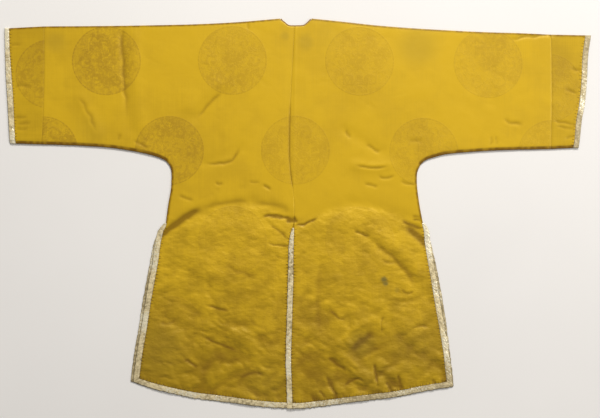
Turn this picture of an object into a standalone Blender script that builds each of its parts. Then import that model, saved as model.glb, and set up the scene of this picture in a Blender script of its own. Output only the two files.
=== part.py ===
"""Short wide-sleeved robe of silk satin, laid flat with its back up.

Each half is one cloth from cuff seam to centre line. It is folded at the shoulder, so the back and the front
are one piece, closed along the sleeve and the side down to the vent. Every piece is an open surface of its
outer face, thickened inwards. The flat front lies on the floor at height 0 and the back lies on the front.
"""

import math
from collections import namedtuple

import bmesh
import bpy
import numpy as np

MM = 0.001

# Thicknesses and gaps
CLOTH = 1.6 * MM
RIBBON = 2.0 * MM
RIBBON_PROUD = 0.2 * MM
RIBBON_WIDTH = 16 * MM
BINDING_WIDTH = 3 * MM
BINDING_START = 4 * MM
SEAM = 0.3 * MM
RIM = 2.6 * MM

# Height of the back's upper face over the floor, and how the two sides of the centre vent lap
LAID = 5.4 * MM
LAP_OVER = 1.8 * MM
LAP_UNDER = -0.8 * MM
LAP_REACH = 45 * MM
LAP_START = 10 * MM
LAP_FULL = -36 * MM
SEAM_DIP = 0.6 * MM
SEAM_DIP_WIDTH = 14 * MM

# Cell counts of the grids, about 24 mm a cell
ARM_CELLS = 14
SHOULDER_CELLS = 13
NECK_CELLS = 5
UPPER_CELLS = 14
SIDE_CELLS = 8
VENT_CELLS = 19
BAND_CELLS = 3
FRONT_HEM_CELLS = 12
FRONT_NECK_CELLS = 8
CURVE_STEPS = 12
NECK_POINT = ARM_CELLS + SHOULDER_CELLS
VENT_ROW = UPPER_CELLS + SIDE_CELLS

# The front, which lies underneath: its neck is cut deeper, and it shows a little below the back's hem
FRONT_NECK_DROP = 75 * MM
FRONT_CENTRE = -10 * MM
FRONT_SHOWS = 1.5 * MM

# How the ribbons begin at the vents' tops and meet at the hem's corners
VENT_RIBBON_TOP = -40 * MM
VENT_TOP_GAP = 1 * MM
VENT_TOP_BLEND = 25 * MM
RIBBON_START = 0.35
RIBBON_GROWS = 40 * MM
MITRE = np.array([0, SEAM])

# Outline in millimetres, +x to the right and +y towards the neck. Left and right differ as the robe is laid.
FOLD = {
    "left": [(-710, 525), (-554, 526), (-414, 528), (-285, 531), (-184, 536), (-117, 541), (-49, 547)],
    "right": [(710, 502), (622, 506), (522, 509), (421, 514), (320, 520), (219, 528), (118, 539), (39, 547)],
}
UNDERARM = {
    "left": [
        (-718, 194), (-654, 192), (-587, 189), (-520, 184), (-450, 173), (-414, 165), (-386, 156),
        (-369, 147), (-358, 133), (-354, 117), (-354, 94), (-356, 66), (-363, 27), (-370, -26),
    ],
    "right": [
        (710, 181), (622, 179), (555, 177), (488, 173), (421, 167), (387, 159), (362, 151), (346, 139),
        (337, 122), (334, 103), (335, 72), (341, 27), (346, -1), (351, -26),
    ],
}
ARMPIT = {"left": (-369, 147), "right": (346, 139)}
BAND_SEAM = {
    "left": [(-710, 525), (-710, 430), (-712, 318), (-715, 234), (-718, 194)],
    "right": [(710, 502), (711, 402), (711, 290), (710, 181)],
}
SATIN_END = {
    "left": [(-808, 520), (-807, 472), (-802, 397), (-797, 329), (-792, 217), (-790, 196)],
    "right": [(805, 500), (797, 441), (794, 374), (788, 307), (780, 262), (775, 206), (771, 184)],
}
CUFF_END = {
    "left": [(-821, 520), (-820, 472), (-818, 397), (-814, 329), (-808, 217), (-806, 197)],
    "right": [(821, 500), (813, 441), (810, 374), (804, 307), (796, 262), (790, 206), (787, 184)],
}
BACK_NECK = [
    (-44, 539), (-38, 534), (-32, 529), (-25, 525), (-9, 524), (15, 525), (23, 529), (29, 534), (34, 539),
]
CENTRE = [
    (-9, 524), (-12, 472), (-15, 416), (-19, 346), (-22, 285), (-24, 187), (-22, 133), (-17, 89),
    (-13, 63), (-10, 24), (-10, -23),
]
HEM = [
    (-480, -466), (-469, -470), (-419, -488), (-352, -505), (-285, -519), (-218, -527), (-150, -536),
    (-83, -544), (-22, -547), (18, -547), (85, -539), (152, -530), (219, -522), (286, -513), (354, -499),
    (421, -488), (437, -484), (450, -481),
]

# Below the vent tops: where each panel's cloth ends at the sides and at the lapped centre vent.
# back_* is the back's satin edge, front_* the outer edge of the front's ribbon, lap and vent the two edges
# of the ribbon on the centre vent.
Level = namedtuple("Level", "y back_left front_left lap vent back_right front_right")
SKIRT = [
    Level(-26, -370, -379, -11, -10, 351, 356),
    Level(-51, -377, -391, -19, -10, 353, 364),
    Level(-85, -384, -404, -25, -11, 356, 374),
    Level(-130, -390, -413, -27, -12, 363, 385),
    Level(-186, -400, -424, -28, -12, 373, 396),
    Level(-253, -412, -436, -30, -14, 384, 408),
    Level(-320, -422, -446, -32, -16, 396, 418),
    Level(-387, -434, -458, -34, -18, 407, 427),
    Level(-432, -440, -464, -34, -18, 412, 432),
    Level(-480, -446, -470, -32, -16, 418, 437),
    Level(-560, -454, -478, -30, -14, 425, 444),
]

# The largest folds of the back, each along a bend through three points, in millimetres
Fold = namedtuple("Fold", "x1 y1 x2 y2 x3 y3 height width")
FOLDS = [
    Fold(-489, 500, -490, 380, -470, 240, -1.4, 17),
    Fold(-455, 490, -458, 380, -440, 250, 1.6, 20),
    Fold(-610, 326, -585, 280, -560, 228, 1.8, 19),
    Fold(-282, 268, -250, 300, -212, 338, -1.4, 17),
    Fold(-300, 300, -265, 335, -230, 365, 1.8, 19),
    Fold(-259, 141, -215, 150, -162, 184, -1.4, 16),
    Fold(541, 470, 545, 400, 541, 312, -1.4, 16),
    Fold(482, 324, 458, 260, 443, 200, 2.2, 19),
    Fold(132, 234, 190, 195, 233, 175, -1.4, 16),
    Fold(160, 136, 205, 125, 253, 135, 1.9, 16),
    Fold(-375, -60, -270, 22, -130, 33, -1.4, 18),
    Fold(-130, 33, -60, 22, -20, -10, -1.3, 16),
    Fold(-300, -45, -215, -30, -120, -50, 2.4, 25),
    Fold(0, -40, 60, 15, 150, 30, -1.4, 17),
    Fold(150, 30, 270, 20, 345, -45, -1.4, 18),
    Fold(60, -40, 120, -20, 190, -15, 2.0, 24),
    Fold(180, -52, 250, -110, 328, -194, -1.5, 16),
    Fold(215, -42, 290, -100, 345, -165, 2.8, 18),
    Fold(62, -144, 66, -205, 62, -270, -1.4, 15),
    Fold(104, -368, 140, -335, 180, -304, 3.0, 16),
    Fold(118, -396, 160, -425, 202, -452, 2.6, 17),
    Fold(230, -430, 270, -450, 300, -470, 1.9, 17),
    Fold(-330, -158, -270, -205, -204, -242, -1.4, 16),
    Fold(-300, -120, -240, -165, -180, -200, 2.0, 20),
    Fold(-268, -346, -220, -370, -167, -390, -1.4, 16),
    Fold(-210, -320, -180, -345, -150, -365, 2.6, 17),
    Fold(-316, -410, -290, -430, -268, -450, 2.0, 17),
]
BEND_STEPS = 8
BILLOW = 0.35 * MM
BILLOW_X = (71 * MM, 1.3)
BILLOW_Y = (83 * MM, 0.4)
CENTRE_EDGE = {"left": "lap", "right": "vent"}
AWAY = {"left": -1, "right": 1}
TURN = {"left": 1, "right": -1}
MEETING_STEPS = 20
SHARP_EDGE = math.radians(40)


def smooth(points, scale=MM):
    """Even curve through the points, as a fine polyline in metres."""
    knots = np.array(points, float) * scale
    ends = [2 * knots[0] - knots[1], *knots, 2 * knots[-1] - knots[-2]]
    line = []
    for before, start, end, after in zip(ends, ends[1:], ends[2:], ends[3:]):
        for t in np.linspace(0, 1, CURVE_STEPS, endpoint=False):
            bend = (2 * before - 5 * start + 4 * end - after) * t * t
            twist = (3 * start - before - 3 * end + after) * t**3
            line.append(0.5 * (2 * start + (end - before) * t + bend + twist))
    line.append(knots[-1])
    return np.array(line)


def divide(line, cells):
    """Points at even steps along a polyline."""
    steps = np.linalg.norm(np.diff(line, axis=0), axis=1)
    along = np.concatenate([[0], np.cumsum(steps)])
    marks = np.linspace(0, along[-1], cells + 1)
    return np.column_stack([np.interp(marks, along, line[:, 0]), np.interp(marks, along, line[:, 1])])


def split(line, place):
    """The two parts of a polyline on each side of the point nearest to a place."""
    at = int(np.argmin(np.linalg.norm(line - np.array(place), axis=1)))
    return line[: at + 1], line[at:]


def outward(line, turn):
    """Unit vectors square to a polyline: to its left for turn 1, to its right for turn -1."""
    along = np.gradient(line, axis=0)
    along /= np.linalg.norm(along, axis=1)[:, None]
    return turn * np.column_stack([-along[:, 1], along[:, 0]])


def column(rows, name):
    """A column of the skirt's table as a function of y, both in metres."""
    line = smooth([(row.y, getattr(row, name)) for row in rows])[::-1]
    return lambda y: float(np.interp(y, line[:, 0], line[:, 1]))


def hem_height(raise_by):
    """The hem as a function of x, moved towards the neck."""
    line = smooth(HEM)
    return lambda x: float(np.interp(x, line[:, 0], line[:, 1])) + raise_by


def hem_line(layer, up):
    """The hem as a function of x, at a height above one panel's lower edge."""
    return hem_height(up + (FRONT_SHOWS if layer == "back" else 0.0))


def crossing(edge, hem, shift=0.0):
    """Where a side edge, moved sideways, meets a hem."""
    y = HEM[0][1] * MM
    for _ in range(MEETING_STEPS):
        x = edge(y) + shift
        y = hem(x)
    return np.array([x, y])


def patch(west, east, north, south):
    """Grid between four edges that share their corners. Rows run from north to south."""
    rows = len(west)
    columns = len(north)
    grid = {}
    for i in range(columns):
        for j in range(rows):
            u = i / (columns - 1)
            v = j / (rows - 1)
            across = (1 - u) * west[j] + u * east[j]
            down = (1 - v) * north[i] + v * south[i]
            corners = (1 - u) * ((1 - v) * north[0] + v * south[0]) + u * ((1 - v) * north[-1] + v * south[-1])
            grid[i, j] = across + down - corners
    return grid


def bend_points(fold):
    """Points along a fold's bend, in metres."""
    start, middle, end = np.array(fold[:6]).reshape(3, 2) * MM
    shares = np.linspace(0, 1, BEND_STEPS + 1)
    return [(1 - t) ** 2 * start + 2 * t * (1 - t) * middle + t * t * end for t in shares]


def distance_to(bend, place):
    """Shortest distance from a place to a bend's short straight runs."""
    nearest = math.inf
    for start, end in zip(bend, bend[1:]):
        run = end - start
        share = min(max(float(np.dot(place - start, run) / np.dot(run, run)), 0.0), 1.0)
        nearest = min(nearest, float(np.linalg.norm(place - start - share * run)))
    return nearest


BENDS = [bend_points(fold) for fold in FOLDS]
SKIRT_EDGES = {name: column(SKIRT, name) for name in Level._fields[1:]}
CENTRE_LINE = smooth(CENTRE)[::-1]


def ease(value):
    """Smooth step from 0 to 1."""
    value = min(max(value, 0.0), 1.0)
    return value * value * (3 - 2 * value)


def centre_x(y, side):
    """The centre back seam, and below it the satin's edge on one side of the vent."""
    if y < CENTRE[-1][1] * MM:
        return SKIRT_EDGES[CENTRE_EDGE[side]](y)
    return float(np.interp(y, CENTRE_LINE[:, 1], CENTRE_LINE[:, 0]))


def laid_height(x, y, side):
    """Height of the back's upper face: its folds, its long billows, the centre seam and the lapped vent."""
    height = LAID
    for fold, bend in zip(FOLDS, BENDS):
        away = distance_to(bend, np.array([x, y])) / (fold.width * MM)
        height += fold.height * MM * math.exp(-away * away)
    height += BILLOW * math.sin(x / BILLOW_X[0] + BILLOW_X[1]) * math.sin(y / BILLOW_Y[0] + BILLOW_Y[1])
    from_centre = abs(x - centre_x(y, side))
    opened = ease((LAP_START - y) / (LAP_START - LAP_FULL))
    height -= SEAM_DIP * math.exp(-((from_centre / SEAM_DIP_WIDTH) ** 2)) * (1 - opened)
    lap = LAP_OVER if side == "right" else LAP_UNDER
    return height + lap * opened * (1 - ease(from_centre / LAP_REACH))


def material(name, colour, roughness, metallic):
    """A Principled BSDF material."""
    new = bpy.data.materials.new(name)
    new.use_nodes = True
    shader = new.node_tree.nodes["Principled BSDF"]
    shader.inputs["Base Color"].default_value = (*colour, 1.0)
    shader.inputs["Roughness"].default_value = roughness
    shader.inputs["Metallic"].default_value = metallic
    return new


def make_piece(name, bm, thickness, finish):
    """Turn an open surface into a named piece, thickened away from its outer face."""
    bmesh.ops.recalc_face_normals(bm, faces=bm.faces)
    highest = max(bm.faces, key=lambda face: face.calc_center_median().z)
    if highest.normal.z < 0:
        bmesh.ops.reverse_faces(bm, faces=bm.faces)
    mesh = bpy.data.meshes.new(name)
    bm.to_mesh(mesh)
    bm.free()
    mesh.shade_smooth()
    mesh.set_sharp_from_angle(angle=SHARP_EDGE)
    piece = bpy.data.objects.new(name, mesh)
    piece.data.materials.append(finish)
    robe.objects.link(piece)
    wall = piece.modifiers.new("Wall", "SOLIDIFY")
    wall.thickness = thickness
    wall.offset = -1
    wall.use_even_offset = True
    wall.use_quality_normals = True
    return piece


def lay_folded(name, back, folded, front, side, thickness, proud, finish):
    """A piece that goes round from the back to the front.

    back maps grid keys to points. folded lists the closed edges, each with its keys and outward vectors. front
    is the flat face's outline: a key where it meets a closed edge, else a point.
    """
    bm = bmesh.new()
    upper = {}
    for key, (x, y) in back.items():
        upper[key] = bm.verts.new((x, y, laid_height(x, y, side) + proud))
    for i, j in back:
        corners = [(i, j), (i + 1, j), (i + 1, j + 1), (i, j + 1)]
        if all(corner in upper for corner in corners):
            bm.faces.new([upper[corner] for corner in corners])
    lower = {}
    for keys, away in folded:
        ring = []
        for key, reach in zip(keys, away):
            x, y = back[key]
            top = upper[key].co.z
            rim = [(x + reach[0] * RIM, y + reach[1] * RIM, top * share) for share in (0.75, 0.25)]
            lower[key] = bm.verts.new((x, y, 0))
            ring.append([upper[key], bm.verts.new(rim[0]), bm.verts.new(rim[1]), lower[key]])
        for here, there in zip(ring, ring[1:]):
            for step in range(3):
                bm.faces.new([here[step], there[step], there[step + 1], here[step + 1]])
    outline = [lower[item] if isinstance(item, tuple) else bm.verts.new((*item, 0)) for item in front]
    flat = bm.faces.new(outline)
    bmesh.ops.triangulate(bm, faces=[flat], ngon_method="BEAUTY")
    return make_piece(name, bm, thickness, finish)


def lay_band(name, inner, outer, tops, thickness, finish):
    """A narrow band between two lines, with its upper face at the given heights."""
    bm = bmesh.new()
    lines = []
    for line in (inner, outer):
        lines.append([bm.verts.new((*point, top)) for point, top in zip(line, tops)])
    for a, b, c, d in zip(lines[0], lines[0][1:], lines[1][1:], lines[1]):
        bm.faces.new([a, b, c, d])
    return make_piece(name, bm, thickness, finish)


def cloth_shift(layer, side):
    """How far a panel's cloth ends from its column of the skirt's table, which holds the front's outer edge."""
    return 0.0 if layer == "back" else -AWAY[side] * (RIBBON_WIDTH + SEAM)


def vent_edge(layer, side, top):
    """A panel's cloth edge down its side vent, from the closed seam's end to the hem."""
    table = SKIRT_EDGES[f"{layer}_{side}"]
    shift = cloth_shift(layer, side)
    foot = crossing(table, hem_line(layer, RIBBON_WIDTH + SEAM), shift)
    points = []
    for y in np.linspace(top[1], foot[1], VENT_CELLS + 1):
        settled = ease((top[1] - y) / VENT_TOP_BLEND)
        points.append((settled * (table(y) + shift) + (1 - settled) * top[0], y))
    return np.array(points)


def half_edges(side):
    """The closed edges of one half, drawn in by the rim, as the grid's points."""
    edges = {}
    fold = smooth(FOLD[side])
    fold = fold - outward(fold, TURN[side]) * RIM
    under = smooth(UNDERARM[side])
    under = under + outward(under, TURN[side]) * RIM
    armpit = np.array(ARMPIT[side]) * MM
    arm_under, side_seam = split(under, armpit)
    armhole_top = (side_seam[0][0], fold[0][1])
    arm_fold, shoulder = split(fold, armhole_top)
    edges["arm_fold"] = divide(arm_fold, ARM_CELLS)
    edges["shoulder"] = divide(shoulder, SHOULDER_CELLS)
    edges["arm_under"] = divide(arm_under, ARM_CELLS)
    edges["side_seam"] = divide(side_seam, SIDE_CELLS)
    return edges


def seam_gap(line, side):
    """A line at the centre, moved half a seam to one side."""
    return line + np.array([AWAY[side] * SEAM / 2, 0])


def centre_edges(side, hem):
    """One half's centre line: from the neck to the armpit's level, to the vent's top, and down the vent."""
    centre = smooth(CENTRE)
    upper, lower = split(centre, (CENTRE[4][0] * MM, ARMPIT[side][1] * MM))
    vent = SKIRT_EDGES[CENTRE_EDGE[side]]
    foot = crossing(vent, hem)
    levels = np.linspace(CENTRE[-1][1] * MM, foot[1], VENT_CELLS + 1)
    vent_line = np.array([(vent(y), y) for y in levels])
    vent_line[0][0] = centre[-1][0]
    return (
        seam_gap(divide(upper, UPPER_CELLS), side),
        seam_gap(divide(lower, SIDE_CELLS), side),
        seam_gap(vent_line, side),
    )


def back_neck(side, shoulder_end, middle):
    """The back's neck edge on one half, from the shoulder fold to the centre seam."""
    if side == "left":
        points = [point for point in BACK_NECK if point[0] < CENTRE[0][0]]
    else:
        points = [point for point in reversed(BACK_NECK) if point[0] > CENTRE[0][0]]
    route = [shoulder_end, *(np.array(point) * MM for point in points), middle]
    return divide(smooth(route, 1.0), NECK_CELLS)


def back_grid(side):
    """Grid of one half's back: the sleeve, the body above the armpit, and the body and skirt below it."""
    edges = half_edges(side)
    hem = hem_line("back", RIBBON_WIDTH + SEAM)
    upper_centre, lower_centre, vent = centre_edges(side, hem)
    neck = back_neck(side, edges["shoulder"][-1], upper_centre[0])
    seam = divide(smooth(BAND_SEAM[side]), UPPER_CELLS)
    seam += (edges["arm_fold"][0] - seam[0]) * np.linspace(1, 0, UPPER_CELLS + 1)[:, None]
    seam += (edges["arm_under"][0] - seam[-1]) * np.linspace(0, 1, UPPER_CELLS + 1)[:, None]
    armhole = divide(np.array([edges["arm_fold"][-1], edges["arm_under"][-1]]), UPPER_CELLS)
    grid = patch(seam, armhole, edges["arm_fold"], edges["arm_under"])

    across = SHOULDER_CELLS + NECK_CELLS
    top = np.concatenate([edges["shoulder"], neck[1:]])
    level = divide(np.array([edges["arm_under"][-1], upper_centre[-1]]), across)
    for (i, j), point in patch(armhole, upper_centre, top, level).items():
        grid[i + ARM_CELLS, j] = point

    vent_side = vent_edge("back", side, edges["side_seam"][-1])
    down_side = np.concatenate([edges["side_seam"], vent_side[1:]])
    down_centre = np.concatenate([lower_centre, vent[1:]])
    hem_xs = np.linspace(vent_side[-1][0], vent[-1][0], across + 1)
    hem_points = np.array([(x, hem(x)) for x in hem_xs])
    for (i, j), point in patch(down_side, down_centre, level, hem_points).items():
        grid[i + ARM_CELLS, j + UPPER_CELLS] = point
    return grid, edges


def front_neck(side, shoulder):
    """Quarter ellipse of the front's neck, from the shoulder fold to the centre opening."""
    middle = seam_gap(np.array([FRONT_CENTRE, 0]), side)[0]
    angles = np.linspace(0, math.pi / 2, FRONT_NECK_CELLS + 1)
    xs = middle + (shoulder[0] - middle) * np.cos(angles)
    return np.column_stack([xs, shoulder[1] - FRONT_NECK_DROP * np.sin(angles)])


def under_keys():
    """Grid keys along the sleeve's underside, round the armpit and down the side seam."""
    keys = [(i, UPPER_CELLS) for i in range(ARM_CELLS + 1)]
    return keys + [(ARM_CELLS, j) for j in range(UPPER_CELLS + 1, VENT_ROW + 1)]


def front_outline(side, grid):
    """The flat front of one half: closed edges as grid keys, open edges as points."""
    outline = under_keys()
    down_side = vent_edge("front", side, grid[ARM_CELLS, VENT_ROW])
    outline += list(down_side[1:])
    hem = hem_line("front", RIBBON_WIDTH + SEAM)
    middle = seam_gap(np.array([FRONT_CENTRE, 0]), side)[0]
    for x in np.linspace(down_side[-1][0], middle, FRONT_HEM_CELLS + 1)[1:]:
        outline.append(np.array([x, hem(x)]))
    outline += list(front_neck(side, grid[NECK_POINT, 0]))[:0:-1]
    outline += [(i, 0) for i in range(NECK_POINT, -1, -1)]
    outline += [grid[0, j] for j in range(1, UPPER_CELLS)]
    return outline


def make_half(side):
    """Back, front and sleeve of one side in one cloth."""
    grid, edges = back_grid(side)
    fold = np.concatenate([edges["arm_fold"], edges["shoulder"][1:]])
    under = np.concatenate([edges["arm_under"], edges["side_seam"][1:]])
    folded = [
        ([(i, 0) for i in range(NECK_POINT + 1)], outward(fold, TURN[side])),
        (under_keys(), outward(under, -TURN[side])),
    ]
    lay_folded(side + "_half", grid, folded, front_outline(side, grid), side, CLOTH, 0.0, satin)
    return grid


def make_tube(name, side, west, east, north, south, thickness, proud, finish):
    """A flat-laid tube across the sleeve, between two lines that run from the fold to the underside."""
    rows = len(west) - 1
    grid = patch(west, east, north, south)
    last = len(north) - 1
    folded = [
        ([(i, 0) for i in range(last + 1)], [(0, 1)] * (last + 1)),
        ([(i, rows) for i in range(last + 1)], [(0, -1)] * (last + 1)),
    ]
    front = [(i, rows) for i in range(last + 1)]
    front += [east[j] for j in range(rows - 1, 0, -1)]
    front += [(i, 0) for i in range(last, -1, -1)]
    front += [west[j] for j in range(1, rows)]
    lay_folded(name, grid, folded, front, side, thickness, proud, finish)


def sleeve_line(points, side, shift):
    """A line across the sleeve from fold to underside, drawn in by the rim and moved along the sleeve."""
    line = divide(smooth(points), UPPER_CELLS)
    line[0][1] -= RIM
    line[-1][1] += RIM
    return line + np.array([AWAY[side] * shift, 0])


def make_cuff(side):
    """The separate band at the sleeve's end and the ribbon round its edge."""
    seam = sleeve_line(BAND_SEAM[side], side, SEAM)
    satin_end = sleeve_line(SATIN_END[side], side, 0)
    ribbon_start = sleeve_line(SATIN_END[side], side, SEAM)
    cuff_end = sleeve_line(CUFF_END[side], side, 0)
    for name, inner, outer, cells, thickness, proud, finish in (
        (side + "_cuff_band", seam, satin_end, BAND_CELLS, CLOTH, 0.0, satin),
        (side + "_cuff_trim", ribbon_start, cuff_end, 1, RIBBON, RIBBON_PROUD, ribbon),
    ):
        north = divide(np.array([inner[0], outer[0]]), cells)
        south = divide(np.array([inner[-1], outer[-1]]), cells)
        make_tube(name, side, inner, outer, north, south, thickness, proud, finish)


def side_ribbon(layer, side, cloth, top_of):
    """Ribbon outside a panel's edge down the side vent, mitred at the hem's corner."""
    away = AWAY[side]
    table = SKIRT_EDGES[f"{layer}_{side}"]
    shift = cloth_shift(layer, side)
    inner_corner = crossing(table, hem_line(layer, RIBBON_WIDTH), shift + away * SEAM)
    outer_corner = crossing(table, hem_line(layer, 0), shift + away * (SEAM + RIBBON_WIDTH))
    inner = cloth.copy()
    inner[0] += (cloth[1] - cloth[0]) * VENT_TOP_GAP / (cloth[0][1] - cloth[1][1])
    inner[:, 0] += away * SEAM
    inner[-1] = inner_corner + MITRE
    top = inner[0][1]
    outer = []
    for x, y in inner:
        outer_y = top + (y - top) / (inner[-1][1] - top) * (outer_corner[1] - top)
        grown = ease(RIBBON_START + (top - y) / RIBBON_GROWS)
        outer.append((table(outer_y) + shift + away * (SEAM + RIBBON_WIDTH * grown), outer_y))
    outer[-1] = outer_corner + MITRE
    tops = [top_of(point, side) for point in inner]
    lay_band(f"{layer}_{side}_side_trim", inner, outer, tops, RIBBON, ribbon)
    return inner_corner, outer_corner


def hem_ribbon(layer, side, corners, top_of):
    """Ribbon below a panel's hem, from the mitred corner to the centre."""
    lines = []
    for corner, hem in zip(corners, (hem_line(layer, RIBBON_WIDTH), hem_line(layer, 0))):
        if layer == "back":
            middle = crossing(SKIRT_EDGES[CENTRE_EDGE[side]], hem)[0]
        else:
            middle = seam_gap(np.array([FRONT_CENTRE, 0]), side)[0]
        xs = np.linspace(corner[0], middle, SHOULDER_CELLS + NECK_CELLS + 1)
        lines.append([(x, hem(x)) for x in xs])
    tops = [top_of(point, side) for point in lines[0]]
    lay_band(f"{layer}_{side}_hem_trim", *lines, tops, RIBBON, ribbon)


def vent_ribbon(side):
    """Ribbon down one side of the centre vent, from its tack to the bottom of the hem."""
    away = AWAY[side]
    other = {"left": "vent", "right": "lap"}[side]
    lines = []
    for name, shift in ((CENTRE_EDGE[side], -away * SEAM), (other, away * SEAM)):
        edge = SKIRT_EDGES[name]
        foot = crossing(edge, hem_line("back", 0))
        levels = np.linspace(VENT_RIBBON_TOP, foot[1], VENT_CELLS + 1)
        lines.append([(edge(y) + shift, y) for y in levels])
    tops = [back_top(point, side) for point in lines[0]]
    lay_band(f"back_{side}_vent_trim", *lines, tops, RIBBON, ribbon)


def make_edge_ribbons(side, vent_top):
    """The ribbons on one half: both panels' side vents and hems, and the back's centre vent."""
    for layer, top_of in (("back", back_top), ("front", front_top)):
        cloth = vent_edge(layer, side, vent_top)
        corners = side_ribbon(layer, side, cloth, top_of)
        hem_ribbon(layer, side, corners, top_of)
    vent_ribbon(side)


def back_top(point, side):
    """Upper face of a ribbon on the back."""
    return laid_height(point[0], point[1], side) + RIBBON_PROUD


def front_top(point, side):
    """Upper face of a ribbon on the front, whose lower face is on the floor."""
    return RIBBON


def clear_of_rim(line, end, neighbour):
    """Draw one end of a binding's line back along the neck, past the shoulder fold's rim."""
    run = line[neighbour] - line[end]
    line[end] += run / np.linalg.norm(run) * BINDING_START


def bind_neck(name, line, away, tops):
    """A binding outside a neck edge, from the edge's own points."""
    lay_band(name, line + away * SEAM, line + away * (SEAM + BINDING_WIDTH), tops, RIBBON, satin)


def make_neck_bindings(grids):
    """Narrow bindings: one along the back's neck, and one along the front's neck on each side."""
    line = [grids["left"][NECK_POINT + i, 0] for i in range(NECK_CELLS + 1)]
    line += [grids["right"][NECK_POINT + i, 0] for i in range(NECK_CELLS, -1, -1)]
    middle = (line[NECK_CELLS] + line[NECK_CELLS + 1]) / 2
    line = np.array([*line[:NECK_CELLS], middle, *line[NECK_CELLS + 2 :]])
    away = outward(line, 1)
    clear_of_rim(line, 0, 1)
    clear_of_rim(line, -1, -2)
    bind_neck("back_neck_binding", line, away, [back_top(point, "left") for point in line])
    for side in ("left", "right"):
        line = front_neck(side, grids[side][NECK_POINT, 0])
        away = outward(line, TURN[side])
        away[-1] = (0, 1)
        clear_of_rim(line, 0, 1)
        bind_neck(f"front_{side}_neck_binding", line, away, [RIBBON] * len(line))


for old in list(bpy.data.objects):
    bpy.data.objects.remove(old, do_unlink=True)
robe = bpy.data.collections.new("robe")
bpy.context.scene.collection.children.link(robe)
satin = material("yellow_satin", (0.60, 0.38, 0.025), 0.42, 0.0)
ribbon = material("metal_ribbon", (0.62, 0.50, 0.28), 0.45, 0.4)

halves = {side: make_half(side) for side in ("left", "right")}
for side in ("left", "right"):
    make_cuff(side)
    make_edge_ribbons(side, halves[side][ARM_CELLS, VENT_ROW])
make_neck_bindings(halves)
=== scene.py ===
"""Looks of a short wide-sleeved silk robe that lies flat with its back up.

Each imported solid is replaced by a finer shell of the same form. The shells come from the same outline and
fold tables, with more cells, and add the smaller creases, the damask, the ribbons' metal thread and the
sewing.
"""

import functools
import math
from collections import namedtuple

import bmesh
import bpy
import numpy as np
from bpy.props import FloatProperty, FloatVectorProperty, PointerProperty
from bpy.types import Operator, Panel, PropertyGroup
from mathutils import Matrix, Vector
from mathutils.geometry import delaunay_2d_cdt
from mathutils.kdtree import KDTree


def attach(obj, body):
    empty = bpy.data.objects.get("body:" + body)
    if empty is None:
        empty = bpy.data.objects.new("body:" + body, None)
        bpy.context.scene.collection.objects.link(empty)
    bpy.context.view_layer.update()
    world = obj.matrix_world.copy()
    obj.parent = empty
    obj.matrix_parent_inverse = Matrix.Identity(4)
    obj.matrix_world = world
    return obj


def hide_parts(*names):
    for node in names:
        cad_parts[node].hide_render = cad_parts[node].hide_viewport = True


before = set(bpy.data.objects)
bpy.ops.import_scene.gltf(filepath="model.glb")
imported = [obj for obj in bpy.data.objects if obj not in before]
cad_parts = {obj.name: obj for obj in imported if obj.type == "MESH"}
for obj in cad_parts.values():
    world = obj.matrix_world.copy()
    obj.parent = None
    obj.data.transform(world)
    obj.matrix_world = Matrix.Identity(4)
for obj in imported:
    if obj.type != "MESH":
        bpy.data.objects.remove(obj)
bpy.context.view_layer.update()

bl_info = {
    "name": "Laid silk robe",
    "version": (1, 0, 0),
    "blender": (4, 5, 0),
    "location": "View3D > Sidebar > Robe",
    "description": "Makes a wide-sleeved damask robe laid flat, with its metal ribbons, creases and sewing",
    "category": "Add Mesh",
}

MM = 0.001

# The photograph's scale, and its point that lies over the robe's origin
PIXEL = 2.8 * MM
PHOTO_WIDTH = 600
PHOTO_MIDDLE = (300, 209)
PHOTO_ORIGIN = (297.75, 213.65)

# Thicknesses, gaps and heights of the solids that the shells follow
RIBBON_TOP = 2.0 * MM
RIBBON_PROUD = 0.2 * MM
RIBBON_WIDTH = 16 * MM
BINDING_WIDTH = 3 * MM
BINDING_START = 4 * MM
BINDING_THICK = 0.8 * MM
BINDING_DROOP = 0.3 * MM
SEAM = 0.3 * MM
CLOTH_SEAM = 0.1 * MM
RIM = 2.6 * MM
LAID = 5.4 * MM
LAP_OVER = 1.8 * MM
LAP_UNDER = -0.8 * MM
LAP_REACH = 45 * MM
LAP_START = 10 * MM
LAP_FULL = -36 * MM
SEAM_DIP = 0.6 * MM
SEAM_DIP_WIDTH = 14 * MM
FRONT_NECK_DROP = 75 * MM
FRONT_CENTRE = -10 * MM
FRONT_SHOWS = 1.5 * MM
VENT_RIBBON_TOP = -40 * MM
VENT_TOP_GAP = 1 * MM
VENT_TOP_BLEND = 25 * MM
RIBBON_START = 0.35
RIBBON_GROWS = 40 * MM
MITRE = np.array([0, SEAM])
BILLOW = 0.35 * MM
BILLOW_X = (71 * MM, 1.3)
BILLOW_Y = (83 * MM, 0.4)

# Cell counts of the shells: cloth cells are about 4 mm and ribbon cells about 2 mm
ARM_CELLS = 84
SHOULDER_CELLS = 88
NECK_CELLS = 34
UPPER_CELLS = 84
SIDE_CELLS = 48
VENT_CELLS = 150
BAND_CELLS = 22
FRONT_HEM_CELLS = 60
FRONT_NECK_CELLS = 24
RIBBON_ACROSS = 8
SIDE_RIBBON_CELLS = 220
HEM_RIBBON_CELLS = 230
CUFF_RIBBON_CELLS = 160
RIM_STEPS = 8
CURVE_STEPS = 12
MEETING_STEPS = 20
BEND_STEPS = 8
NECK_POINT = ARM_CELLS + SHOULDER_CELLS
VENT_ROW = UPPER_CELLS + SIDE_CELLS
SHARP_EDGE = math.radians(50)

# How the flat front is filled: only inside its outline, with points this near made one
INSIDE_ONLY = 1
WELD = 1e-7

# The smallest height of the back's upper face, which keeps it clear of the front below
LOWEST_BACK = 2.4 * MM

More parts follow.
